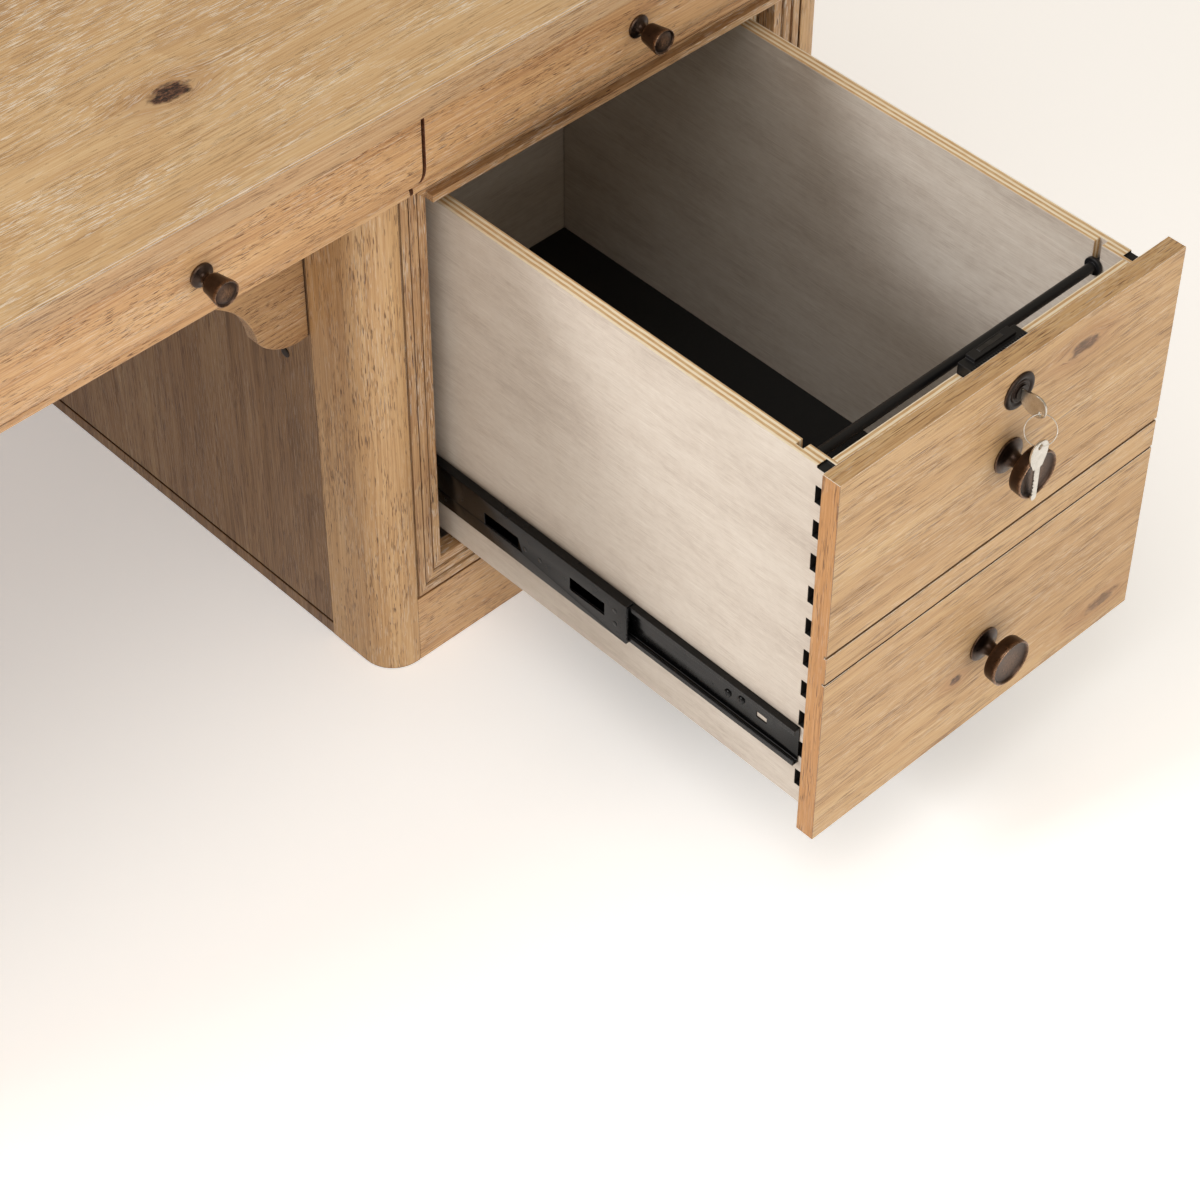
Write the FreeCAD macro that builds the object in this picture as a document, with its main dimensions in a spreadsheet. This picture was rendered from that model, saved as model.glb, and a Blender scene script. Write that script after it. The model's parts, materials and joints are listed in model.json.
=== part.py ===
import FreeCAD, Part
import math
import os
import Sketcher

# Executive desk: double pedestal, rounded posts, moulded frieze with three drawers,
# one deep file drawer in each pedestal. Millimetres. +Z is up, the drawers face -Y,
# X = 0 is the middle of the desk. The right file drawer stands open, as used.

os.makedirs("parts", exist_ok=True)
doc = FreeCAD.newDocument("executive_desk")

# Driving dimensions. Each goes into the sheet under its own name.
SIZES = {
    # desk as a whole
    "desk_height": 762.0,
    "pedestal_width": 628.0,
    "pedestal_depth": 870.0,
    "kneehole_width": 725.0,
    "top_thickness": 28.0,
    "top_overhang": 36.0,
    "top_arris": 1.6,
    "sliding_gap": 0.3,
    "panel_recess": 0.4,
    "cut_overrun": 1.0,
    # posts, panels and rails
    "post_width": 43.0,
    "post_depth": 92.0,
    "post_radius": 38.0,
    "panel_thickness": 18.0,
    "base_rail_height": 90.0,
    "base_rail_thickness": 24.0,
    "plinth_line_height": 16.0,
    "plinth_line_width": 3.0,
    "plinth_line_depth": 3.0,
    "bottom_height": 96.0,
    "modesty_setback": 94.0,
    "modesty_clearance": 60.0,
    # moulding round the file drawer opening
    "moulding_width": 37.0,
    "moulding_depth": 24.0,
    "moulding_quirk_width": 3.0,
    "moulding_quirk_depth": 3.0,
    "moulding_first_step": 13.0,
    "moulding_second_step": 25.0,
    "moulding_step_depth": 1.5,
    "moulding_slope_width": 1.0,
    "moulding_line_width": 1.2,
    "moulding_line_depth": 1.6,
    "moulding_ridge_height": 8.0,
    "moulding_ridge_reach": 7.4,
    # opening of the file drawer
    "opening_bottom": 127.0,
    "drawer_rail_height": 12.0,
    # frieze
    "frieze_height": 82.0,
    "frieze_overhang": 32.0,
    "frieze_thickness": 22.0,
    "frieze_top_gap": 1.0,
    "frieze_drawer_gap": 4.0,
    "frieze_gap_past_kneehole": 51.0,
    "frieze_flat_height": 58.0,
    "frieze_round_radius": 40.0,
    "frieze_neck_setback": 26.0,
    "frieze_neck_height": 4.0,
    "frieze_lip_gap": 1.0,
    "frieze_lip_rise": 2.0,
    "bead_radius": 7.5,
    "bead_setback": 27.7,
    "bead_drop": 101.0,
    # kneehole apron
    "apron_setback": 94.0,
    "apron_thickness": 18.0,
    "apron_top_rise": 3.0,
    "apron_end_drop": 230.0,
    "apron_middle_drop": 122.0,
    "apron_lobe_width": 62.0,
    "apron_lobe_rise": 26.0,
    "apron_ogee_width": 76.0,
    # panel plugs
    "plug_radius": 6.0,
    "plug_thickness": 1.2,
    "plug_setback": 135.0,
    "plug_height": 374.0,
    # file drawers
    "file_travel": 534.0,
    "file_closed_recess": 6.0,
    "file_front_side_gap": 2.0,
    "file_front_bottom_gap": 3.0,
    "file_front_top_gap": 3.5,
    "file_front_thickness": 21.0,
    "groove_width": 2.6,
    "upper_groove_width": 3.6,
    "groove_depth": 3.0,
    "box_side_gap": 22.2,
    "box_side_thickness": 16.0,
    "box_bottom_height": 6.0,
    "box_top_drop": 19.5,
    "box_back_gap": 27.6,
    "box_front_thickness": 22.0,
    "box_bottom_thickness": 6.0,
    "box_bottom_rise": 21.0,
    "box_pin_height": 20.5,
    "box_pin_pitch": 41.8,
    "box_pin_rise": 33.5,
    "box_pin_recess": 12.0,
    "box_socket_length": 24.2,
    # ball-bearing slides
    "slide_length": 560.0,
    "slide_rise": 81.0,
    "slide_height": 56.0,
    "slide_thickness": 13.5,
    "slide_gauge": 1.5,
    "slide_setback": 28.5,
    "drawer_member_setback": 19.5,
    "middle_travel": 290.0,
    "slide_slot_length": 50.0,
    "slide_slot_height": 17.0,
    "slide_hole_length": 14.0,
    "slide_hole_height": 7.0,
    # file rod
    "rod_radius": 5.3,
    "rod_cap_radius": 9.5,
    "rod_cap_thickness": 4.0,
    "rod_stub_radius": 4.0,
    "rod_groove_depth": 9.0,
    "rod_setback": 73.0,
    "rod_drop": 26.0,
    # knobs
    "file_knob_radius": 25.6,
    "file_knob_reach": 36.6,
    "file_knob_rose_radius": 19.0,
    "frieze_knob_radius": 13.5,
    "frieze_knob_reach": 36.0,
    "frieze_knob_rose_radius": 12.3,
    "frieze_knob_drop": 37.0,
    "centre_knob_inset": 257.0,
    # lock and keys
    "lock_drop": 36.5,
    "lock_to_knob": 77.0,
    "lock_side_offset": 4.0,
    "escutcheon_radius": 20.0,
    "escutcheon_thickness": 2.5,
    "plug_barrel_radius": 8.0,
    "plug_barrel_length": 40.5,
    "plug_nose": 4.0,
    "lock_case_width": 76.0,
    "lock_case_depth": 22.0,
    "lock_case_height": 62.0,
    "lock_case_drop": 3.5,
    "lock_case_wall": 6.0,
    "lock_block_width": 56.0,
    "lock_block_setback": 11.0,
    "lock_block_rise": 4.0,
    "bolt_width": 32.0,
    "bolt_thickness": 5.5,
    "bolt_length": 23.5,
    "bolt_setback": 15.0,
    "strike_setback": 28.0,
    "strike_thickness": 12.5,
    "strike_clearance": 2.5,
    "key_thickness": 2.0,
    "key_bow_radius": 12.0,
    "key_length": 72.0,
    "key_notch": 1.6,
    "key_bow_reach": 21.0,
    "key_bow_drop": 5.0,
    "key_hole_reach": 28.0,
    "key_hole_drop": 10.0,
    "key_hole_radius": 3.0,
    "key_blade_width": 7.0,
    "ring_diameter": 30.0,
    "ring_wire_radius": 0.75,
    # frieze drawer boxes
    "frieze_box_side_gap": 13.0,
    "frieze_box_height": 68.0,
    "frieze_box_depth": 440.0,
    "frieze_box_thickness": 12.0,
    "frieze_box_bottom_thickness": 5.0,
    "centre_box_lift": 10.0,
    "centre_ledge_thickness": 6.0,
    "centre_ledge_width": 22.0,
}

# How far the key ring leans outwards, as a share of its diameter.
RING_LEAN_SHARE = 0.343
# The ring's turn about the vertical, in degrees, and how far that spreads it towards the front.
RING_TURN = 45
RING_SPREAD_SHARE = math.hypot(math.sin(math.radians(RING_TURN)), RING_LEAN_SHARE)
# Half-way marks and turns in degrees.
BOTH_SIDES = 2
HALF_SHARE = 0.5
QUARTER_TURN = 90
FULL_TURN = 360
# Short chords that stand for the rounds of the frieze.
ROUND_CHORD_COUNT = 5
BEAD_CHORD_COUNT = 7
# Where the frieze's large round ends and its bead begins, in degrees from level.
ROUND_END = -45
BEAD_START = 60
# Heights up a file front, as shares of its own: the two grooves and the lower knob.
GROOVE_UPPER_SHARE = 0.5357
GROOVE_LOWER_SHARE = 0.4601
KNOB_LOWER_SHARE = 0.2226
# Where the cuts sit along a key's blade, as shares of the key's length from its tip.
KEY_NOTCH_SHARES = (0.06, 0.13, 0.2, 0.27, 0.34)

sheet = doc.addObject("Spreadsheet::Sheet", "Sizes")


class Dim:
    """A length that carries its value and the sheet expression it comes from."""

    def __init__(self, value, text):
        self.value = value
        self.text = text

    def __add__(self, other):
        other = as_dim(other)
        return Dim(self.value + other.value, f"({self.text} + {other.text})")

    def __radd__(self, other):
        return as_dim(other) + self

    def __sub__(self, other):
        other = as_dim(other)
        return Dim(self.value - other.value, f"({self.text} - {other.text})")

    def __rsub__(self, other):
        return as_dim(other) - self

    def __mul__(self, share):
        return Dim(self.value * share, f"({self.text} * {share})")

    def __rmul__(self, share):
        return self * share

    def __truediv__(self, share):
        return Dim(self.value / share, f"({self.text} / {share})")

    def __neg__(self):
        return Dim(-self.value, f"(0 - {self.text})")

    def __float__(self):
        return float(self.value)


def as_dim(value):
    return value if isinstance(value, Dim) else Dim(float(value), repr(float(value)))


class Names:
    """The named sizes as attributes, each tied to its sheet cell."""


size = Names()
for row, (name, value) in enumerate(SIZES.items(), start=1):
    sheet.set(f"A{row}", name)
    sheet.set(f"B{row}", str(value))
    sheet.setAlias(f"B{row}", name)
    setattr(size, name, Dim(value, f"Sizes.{name}"))
doc.recompute()
ZERO = as_dim(0)


# Small modelling helpers

def bind(thing, prop, dim):
    """Tie one property of a document object to a sheet expression."""
    thing.setExpression(prop, as_dim(dim).text)


def place(thing, x, y, z, axis=None, angle=0):
    """Place an object at bound coordinates, turned by a fixed angle."""
    if axis is not None:
        thing.Placement = FreeCAD.Placement(FreeCAD.Vector(), FreeCAD.Rotation(axis, angle))
    bind(thing, "Placement.Base.x", x)
    bind(thing, "Placement.Base.y", y)
    bind(thing, "Placement.Base.z", z)
    return thing


X_AXIS = FreeCAD.Vector(1, 0, 0)
Y_AXIS = FreeCAD.Vector(0, 1, 0)
Z_AXIS = FreeCAD.Vector(0, 0, 1)


def board(label, x, y, z):
    """A box between pairs of bound coordinates: x, y and z are (low, high)."""
    box = doc.addObject("Part::Box", label)
    box.Label = label
    for prop, (low, high) in (("Length", x), ("Width", y), ("Height", z)):
        bind(box, prop, as_dim(high) - low)
    return place(box, x[0], y[0], z[0])


def drum(label, radius, length, x, y, z, axis=None, angle=0):
    """A cylinder that stands along +Z before it is turned."""
    cylinder = doc.addObject("Part::Cylinder", label)
    cylinder.Label = label
    bind(cylinder, "Radius", radius)
    bind(cylinder, "Height", length)
    return place(cylinder, x, y, z, axis, angle)


def minus(label, base, *tools):
    """The base with the tools cut away."""
    tool = tools[0] if len(tools) == 1 else fused(f"{label}_tools", *tools)
    cut = doc.addObject("Part::Cut", label)
    cut.Label = label
    cut.Base = base
    cut.Tool = tool
    return cut


def fused(label, *pieces):
    fuse = doc.addObject("Part::MultiFuse", label)
    fuse.Label = label
    fuse.Shapes = list(pieces)
    return fuse


def mirrored(label, source, normal=X_AXIS, base=None):
    """A mirror image across the middle of the desk, or across a bound plane along Y."""
    mirror = doc.addObject("Part::Mirroring", label)
    mirror.Label = label
    mirror.Source = source
    mirror.Normal = normal
    if base is not None:
        bind(mirror, "Base.y", base)
    return mirror


nodes = []


def node(label, *pieces):
    """A finished node: one piece, or several that share the node as separate solids."""
    group = doc.addObject("Part::Compound", label)
    group.Label = label
    group.Links = list(pieces)
    nodes.append(group)
    return group


def outline(body, role, points, offset=None):
    """A closed sketch on an origin plane of the body.

    Each point is (u, v), or (u, v, centre u, centre v, turn) for an arc that arrives there about
    a centre, or (u, v, radius, turn) for one of a given radius. The turn is 1 for
    counter-clockwise and -1 for clockwise.
    """
    sketch = body.newObject("Sketcher::SketchObject", f"{body.Name}_outline")
    plane = [f for f in body.Origin.OriginFeatures if f.Role == role][0]
    sketch.AttachmentSupport = [(plane, "")]
    sketch.MapMode = "FlatFace"
    if offset is not None:
        bind(sketch, "AttachmentOffset.Base.z", offset)
    corners = [tuple(as_dim(c) for c in point[:2]) for point in points]
    spots = [FreeCAD.Vector(float(u), float(v), 0) for u, v in corners]
    for index, point in enumerate(points):
        add_span(sketch, point, spots[index - 1], spots[index])
    # ends of each span: 1 is its start point and 2 its end point; clockwise arcs run backwards
    ends = [(1, 2) if len(point) == 2 or point[-1] > 0 else (2, 1) for point in points]
    for index, point in enumerate(points):
        after = (index + 1) % len(points)
        sketch.addConstraint(
            Sketcher.Constraint("Coincident", index, ends[index][1], after, ends[after][0]))
        pin(sketch, index, ends[index][1], *corners[index])
        if len(point) == 5:
            chord = spots[index] - spots[index - 1]
            upright = abs(chord.y) > abs(chord.x)
            pin(sketch, index, 3, point[2] if upright else None, None if upright else point[3])
        if len(point) == 4:
            radius = as_dim(point[2])
            number = sketch.addConstraint(Sketcher.Constraint("Radius", index, float(radius)))
            sketch.setExpression(f"Constraints[{number}]", radius.text)
    return sketch


def add_span(sketch, point, start, end):
    """One line or arc of an outline."""
    if len(point) == 2:
        sketch.addGeometry(Part.LineSegment(start, end))
        return
    turn = point[-1]
    if len(point) == 5:
        centre = FreeCAD.Vector(float(as_dim(point[2])), float(as_dim(point[3])), 0)
    else:
        chord = end - start
        half = chord.Length / 2
        rise = math.sqrt(float(as_dim(point[2])) ** 2 - half * half)
        across = FreeCAD.Vector(-chord.y, chord.x, 0) * (turn * rise / chord.Length)
        centre = start + chord * HALF_SHARE + across
    first, last = (start, end) if turn > 0 else (end, start)
    angles = [math.atan2(p.y - centre.y, p.x - centre.x) for p in (first, last)]
    if angles[1] < angles[0]:
        angles[1] += 2 * math.pi
    circle = Part.Circle(centre, Z_AXIS, (end - centre).Length)
    sketch.addGeometry(Part.ArcOfCircle(circle, angles[0], angles[1]))


def pin(sketch, index, spot, u, v):
    """Tie one point of a span to sheet expressions, along one axis or both."""
    for kind, dim in (("DistanceX", u), ("DistanceY", v)):
        if dim is None:
            continue
        dim = as_dim(dim)
        number = sketch.addConstraint(
            Sketcher.Constraint(kind, -1, 1, index, spot, float(dim)))
        sketch.setExpression(f"Constraints[{number}]", dim.text)


def new_body(label):
    body = doc.addObject("PartDesign::Body", label)
    body.Label = label
    return body


def prism(label, role, points, length, offset=None):
    """A body padded from one outline."""
    body = new_body(label)
    sketch = outline(body, role, points, offset)
    pad = body.newObject("PartDesign::Pad", f"{label}_pad")
    pad.Profile = sketch
    bind(pad, "Length", length)
    sketch.Visibility = False
    return body


def pocketed(body, role, points, depth):
    """Cut an outline out of a body to both sides of its plane."""
    sketch = outline(body, role, points)
    pocket = body.newObject("PartDesign::Pocket", f"{body.Name}_pocket")
    pocket.Profile = sketch
    pocket.Midplane = True
    bind(pocket, "Length", depth)
    return pocket


def turned(label, points):
    """A body turned about the vertical axis of its own XZ plane."""
    body = new_body(label)
    sketch = outline(body, "XZ_Plane", points)
    spin = body.newObject("PartDesign::Revolution", f"{label}_spin")
    spin.Profile = sketch
    spin.ReferenceAxis = (sketch, ["V_Axis"])
    spin.Angle = FULL_TURN
    return body


# Places that several pieces share

xr = size.kneehole_width / 2
outer_x = xr + size.pedestal_width
open_reach = size.file_travel - size.file_closed_recess
key_reach = (size.key_hole_reach + size.ring_diameter * (RING_LEAN_SHARE / 2)
             + size.ring_diameter * (RING_SPREAD_SHARE / 2) + size.ring_wire_radius)
front_y = (open_reach + key_reach - size.pedestal_depth - size.top_overhang) / 2
back_y = front_y + size.pedestal_depth
case_top = size.desk_height - size.top_thickness
frieze_bottom = case_top - size.frieze_height
frieze_face_y = front_y - size.frieze_overhang
frieze_back_y = frieze_face_y + size.frieze_thickness
panel_in_x = xr + size.panel_recess + size.panel_thickness
panel_out_x = outer_x - size.panel_recess - size.panel_thickness
deck_top = frieze_bottom
case_front_y = front_y + size.moulding_depth
case_back_y = back_y - size.panel_recess - size.panel_thickness
opening_top = deck_top - size.drawer_rail_height - size.moulding_width
opening_left = xr + size.post_width + size.moulding_width
opening_right = outer_x - size.post_width - size.moulding_width
file_closed_y = front_y + size.file_closed_recess
file_open_y = file_closed_y - size.file_travel
file_bottom = size.opening_bottom + size.file_front_bottom_gap
file_top = opening_top - size.file_front_top_gap
file_front_height = file_top - file_bottom
box_left = opening_left + size.box_side_gap
box_right = opening_right - size.box_side_gap
box_bottom = file_bottom + size.box_bottom_height
box_top = file_top - size.box_top_drop
box_depth = case_back_y - size.box_back_gap - file_closed_y - size.file_front_thickness
rod_z = box_top - size.rod_drop
slide_z = box_bottom + size.slide_rise
lock_x = (opening_left + opening_right) / 2 + size.lock_side_offset
lock_z = file_top - size.lock_drop
lock_case_top = file_top - size.lock_case_drop
case_left = box_left - size.slide_thickness
case_right = box_right + size.slide_thickness
deck_bottom = deck_top - size.panel_thickness


# Desk top and carcass

def build_top():
    half_x = outer_x + size.top_overhang
    low_y = front_y - size.top_overhang
    high_y = back_y + size.top_overhang
    radius = size.post_radius + size.top_overhang
    points = [
        (half_x - radius, low_y),
        (half_x, low_y + radius, half_x - radius, low_y + radius, 1),
        (half_x, high_y - radius),
        (half_x - radius, high_y, half_x - radius, high_y - radius, 1),
        (radius - half_x, high_y),
        (-half_x, high_y - radius, radius - half_x, high_y - radius, 1),
        (-half_x, low_y + radius),
        (radius - half_x, low_y, radius - half_x, low_y + radius, 1),
    ]
    body = prism("desk_top_board", "XY_Plane", points, size.top_thickness, case_top)
    doc.recompute()
    pad = body.Tip
    edges = [f"Edge{i + 1}" for i, edge in enumerate(pad.Shape.Edges)
             if min(v.Z for v in edge.Vertexes) > float(size.desk_height) - float(size.cut_overrun)]
    arris = body.newObject("PartDesign::Chamfer", "desk_top_arris")
    arris.Base = (pad, edges)
    bind(arris, "Size", size.top_arris)
    body.Tip = arris
    node("desk_top", body)


def corner_post(label, x_outer, sign_x):
    """A rounded post: sign_x is +1 where its outer face looks to +X."""
    x0 = x_outer
    inner = x0 - size.post_width * sign_x
    round_x = x0 - size.post_radius * sign_x
    points = [
        (inner, front_y),
        (round_x, front_y),
        (x0, front_y + size.post_radius, round_x, front_y + size.post_radius, sign_x),
        (x0, front_y + size.post_depth),
        (inner, front_y + size.post_depth),
    ]
    return prism(label, "XY_Plane", points, case_top)


def build_posts():
    inner_post = corner_post("right_inner_post", xr, -1)
    outer_post = corner_post("right_outer_post", outer_x, 1)
    middle_y = (front_y + back_y) / 2
    rear = [mirrored(f"right_rear_post_{i}", post, Y_AXIS, middle_y)
            for i, post in enumerate((inner_post, outer_post))]
    node("right_front_posts", inner_post, outer_post)
    node("right_rear_posts", *rear)
    for name, posts in (("front", (inner_post, outer_post)), ("rear", rear)):
        left = [mirrored(f"left_{name}_post_{i}", post) for i, post in enumerate(posts)]
        node(f"left_{name}_posts", *left)


def side_panel(label, low_x, line_low_x, line_high_x):
    """A tall side panel with the thin plinth line near the floor."""
    y = (front_y + size.post_depth, back_y - size.post_depth)
    panel = board(f"{label}_board", (low_x, low_x + size.panel_thickness), y, (ZERO, case_top))
    line_z = (size.plinth_line_height, size.plinth_line_height + size.plinth_line_width)
    line_y = (y[0] - size.cut_overrun, y[1] + size.cut_overrun)
    line = board(f"{label}_line", (line_low_x, line_high_x), line_y, line_z)
    return minus(f"{label}_panel", panel, line)


def build_panels():
    inner_face = xr + size.panel_recess
    inner = side_panel("right_inner", inner_face, inner_face - size.cut_overrun,
                       inner_face + size.plinth_line_depth)
    outer_face = outer_x - size.panel_recess
    outer = side_panel("right_outer", panel_out_x, outer_face - size.plinth_line_depth,
                       outer_face + size.cut_overrun)
    for name, panel in (("inner", inner), ("outer", outer)):
        node(f"right_{name}_side_panel", panel)
        node(f"left_{name}_side_panel", mirrored(f"left_{name}_panel", panel))
    pair("pedestal_backs", board(
        "right_back", (xr + size.post_width, outer_x - size.post_width),
        (case_back_y, back_y - size.panel_recess), (ZERO, case_top)))
    inside = (panel_in_x, panel_out_x)
    between_posts = (front_y + size.post_depth, case_back_y)
    pair("pedestal_bottoms", fused(
        "right_bottom",
        board("right_bottom_board", (xr + size.post_width, outer_x - size.post_width),
              (front_y + size.base_rail_thickness, case_back_y),
              (size.bottom_height - size.panel_thickness, size.bottom_height)),
        board("right_bottom_wings", inside, (between_posts[0], back_y - size.post_depth),
              (size.bottom_height - size.panel_thickness, size.bottom_height))))
    pair("pedestal_decks", fused(
        "right_deck",
        board("right_deck_board", (xr + size.post_width, outer_x - size.post_width),
              (case_front_y, case_back_y), (deck_bottom, deck_top)),
        board("right_deck_wings", inside, (between_posts[0], back_y - size.post_depth),
              (deck_bottom, deck_top))))
    pair("base_rails", board(
        "right_base_rail", (xr + size.post_width, outer_x - size.post_width),
        (front_y, front_y + size.base_rail_thickness), (ZERO, size.base_rail_height)))
    pair("drawer_rails", board(
        "right_drawer_rail", (xr + size.post_width, outer_x - size.post_width),
        (front_y, case_front_y), (opening_top + size.moulding_width, deck_top)))


def pair(label, piece):
    """A piece of the right pedestal and its mirror image on the left, in one node."""
    return node(label, piece, mirrored(f"{label}_left", piece))


def build_mouldings():
    """Four mitred lengths round the opening of each file drawer."""
    low_x = xr + size.post_width
    high_x = outer_x - size.post_width
    low_z = size.opening_bottom - size.moulding_width
    high_z = opening_top + size.moulding_width
    tall = high_z - low_z
    wide = high_x - low_x
    corners = [
        ("left", low_x, low_z, tall, 0),
        ("top", low_x, high_z, wide, QUARTER_TURN),
        ("right", high_x, high_z, tall, QUARTER_TURN * 2),
        ("bottom", high_x, low_z, wide, QUARTER_TURN * 3),
    ]
    lengths = []
    for name, x, z, length, angle in corners:
        body = moulding_length(f"opening_moulding_{name}", length)
        lengths.append(place(body, x, front_y, z, Y_AXIS, angle))
    ridge = board("opening_ridge", (opening_left, opening_right),
                  (front_y - size.moulding_ridge_reach, front_y + size.moulding_depth / 2),
                  (opening_top, opening_top + size.moulding_ridge_height))
    lengths[1] = fused("opening_moulding_ridged", lengths[1], ridge)
    node("right_opening_moulding", *lengths)
    node("left_opening_moulding",
         *[mirrored(f"{piece.Name}_left", piece) for piece in lengths])


def moulding_length(label, length):
    """One length of the stepped moulding, u inwards from its outer edge, both ends mitred.

    A thin sunk line runs along the foot of each step.
    """
    step = size.moulding_step_depth
    slope = size.moulding_slope_width
    quirk = size.moulding_quirk_width
    line = size.moulding_line_width
    points = [
        (ZERO, size.moulding_depth),
        (ZERO, size.moulding_quirk_depth),
        (quirk, size.moulding_quirk_depth),
        (quirk, ZERO),
    ]
    level = ZERO
    for edge in (size.moulding_first_step, size.moulding_second_step):
        foot = level + step + size.moulding_line_depth
        points += [(edge - slope, level), (edge, foot), (edge + line, foot)]
        level = level + step
        points.append((edge + line, level))
    points += [
        (size.moulding_width - slope, level),
        (size.moulding_width, level + slope),
        (size.moulding_width, size.moulding_depth),
    ]
    body = prism(label, "XY_Plane", points, length)
    reach = size.moulding_width + size.cut_overrun
    low = [(ZERO - size.cut_overrun, ZERO - size.cut_overrun), (reach, reach),
           (reach, ZERO - size.cut_overrun)]
    high = [(ZERO - size.cut_overrun, length + size.cut_overrun),
            (reach, length - reach), (reach, length + size.cut_overrun)]
    for points in (low, high):
        pocketed(body, "XZ_Plane", points, (size.moulding_depth + size.cut_overrun) * BOTH_SIDES)
    return body


def build_runner_panels():
    y = (file_closed_y + size.file_front_thickness + size.cut_overrun, case_back_y)
    z = (size.bottom_height, deck_bottom)
    left = board("right_case_left", (case_left - size.panel_thickness, case_left), y, z)
    right = board("right_case_right", (case_right, case_right + size.panel_thickness), y, z)
    node("runner_panels", left, right, mirrored("left_case_right", left),
         mirrored("left_case_left", right))


def build_kneehole():
    high_y = back_y - size.modesty_setback
    node("modesty_panel", board(
        "modesty_board", (-xr - size.panel_recess, xr + size.panel_recess),
        (high_y - size.panel_thickness, high_y), (size.modesty_clearance, case_top)))
    node("kneehole_apron", apron())
    plug = drum("right_plug", size.plug_radius, size.plug_thickness,
                xr + size.panel_recess - size.plug_thickness, front_y + size.plug_setback,
                size.plug_height, Y_AXIS, QUARTER_TURN)
    node("panel_plugs", plug, mirrored("left_plug", plug))


def apron():
    """The shaped apron: a deep lobe at each end, an ogee and a straight middle."""
    half = xr + size.panel_recess
    top = deck_top + size.apron_top_rise
    low = deck_top - size.apron_end_drop
    mid = deck_top - size.apron_middle_drop
    swell_x = half - size.apron_lobe_width
    swell_z = low + size.apron_lobe_rise
    middle_x = swell_x - size.apron_ogee_width
    lobe = arc_radius(size.apron_lobe_width, size.apron_lobe_rise)
    ogee = arc_radius(size.apron_ogee_width, mid - swell_z)
    points = [
        (half, top),
        (-half, top),
        (-half, low),
        (-swell_x, swell_z, lobe, 1),
        (-middle_x, mid, ogee, -1),
        (middle_x, mid),
        (swell_x, swell_z, ogee, -1),
        (half, low, lobe, 1),
    ]
    # the plane looks to -Y, so the offset is the board's place with its sign turned
    return prism("apron_board", "XZ_Plane", points, size.apron_thickness,
                 -(front_y + size.apron_setback + size.apron_thickness))


# How far the apron's curves bulge, as a share of their chords.
APRON_SAG_SHARE = 0.16


def arc_radius(wide, high):
    """The radius of an arc over a chord of these sides with the apron's bulge."""
    chord = math.hypot(float(wide), float(high))
    bulge = APRON_SAG_SHARE
    factor = (1 + 4 * bulge * bulge) / (8 * bulge)
    text = f"(sqrt({as_dim(wide).text}^2 + {as_dim(high).text}^2) * {factor})"
    return Dim(chord * factor, text)


# Frieze: the moulded face that the three drawer fronts and the ends share

def frieze_profile(face, back, out, top, lip_back=None):
    """The moulded section, face and back along one axis, heights along the other.

    out is -1 where the face looks along the axis' minus side and +1 otherwise. A large round
    runs into a sunk neck and a bead. The bead stands on a lip that hangs below the board and
    behind it, as far back as lip_back.
    """
    round_z = case_top - size.frieze_flat_height
    bead_z = case_top - size.bead_drop
    bead_u = face - size.bead_setback * out
    neck = face - size.frieze_neck_setback * out
    neck_z = bead_z + size.bead_radius + size.frieze_neck_height
    points = [(back, top), (face, top)]
    points += rounded(face - size.frieze_round_radius * out, round_z, size.frieze_round_radius, out,
                      0, ROUND_END, ROUND_CHORD_COUNT)
    points.append((neck, neck_z))
    points += rounded(bead_u, bead_z, size.bead_radius, out,
                      BEAD_START, -QUARTER_TURN, BEAD_CHORD_COUNT)
    if lip_back is None:
        points.append((back, bead_z - size.bead_radius))
    else:
        lip_top = frieze_bottom - size.frieze_lip_rise
        points += [(lip_back, bead_z - size.bead_radius), (lip_back, lip_top), (back, lip_top)]
    return points


def rounded(centre_u, centre_v, radius, out, start, end, chords):
    """A convex round as short chords, from one angle to another, out to the side given."""
    spots = []
    for step in range(chords + 1):
        angle = math.radians(start + (end - start) * step / chords)
        spots.append((centre_u + radius * (math.cos(angle) * out),
                      centre_v + radius * math.sin(angle)))
    return spots


def frieze_front(label, low_x, high_x):
    """A drawer front: the section in the YZ plane, padded along X."""
    points = frieze_profile(frieze_face_y, frieze_back_y, -1, case_top - size.frieze_top_gap,
                            front_y - size.frieze_lip_gap)
    return prism(label, "YZ_Plane", points, high_x - low_x, low_x)


def build_frieze_ends():
    """The fixed frieze along each end, with its two rounded corners, and along the back."""
    corner_x = outer_x - size.post_radius
    low_y = front_y + size.post_radius
    high_y = back_y - size.post_radius
    out = size.post_radius + size.frieze_overhang
    points = frieze_profile(out, size.post_radius, 1, case_top)
    pieces = []
    for name, y, start in (("front", low_y, -QUARTER_TURN), ("rear", high_y, 0)):
        body = new_body(f"frieze_corner_{name}")
        sketch = outline(body, "XZ_Plane", points)
        spin = body.newObject("PartDesign::Revolution", f"frieze_corner_{name}_spin")
        spin.Profile = sketch
        spin.ReferenceAxis = (sketch, ["V_Axis"])
        spin.Angle = QUARTER_TURN
        place(body, corner_x, y, ZERO, Z_AXIS, start)
        pieces.append(body)
    run = frieze_profile(outer_x + size.frieze_overhang, outer_x, 1, case_top)
    pieces.append(prism("frieze_end_run", "XZ_Plane", run, high_y - low_y, -high_y))
    end = fused("frieze_end_right", *pieces)
    node("right_frieze_end", end)
    node("left_frieze_end", mirrored("frieze_end_left", end))
    back = frieze_profile(back_y + size.frieze_overhang, back_y, 1, case_top)
    node("frieze_back", prism("frieze_back_board", "YZ_Plane", back, corner_x * 2, -corner_x))


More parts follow.
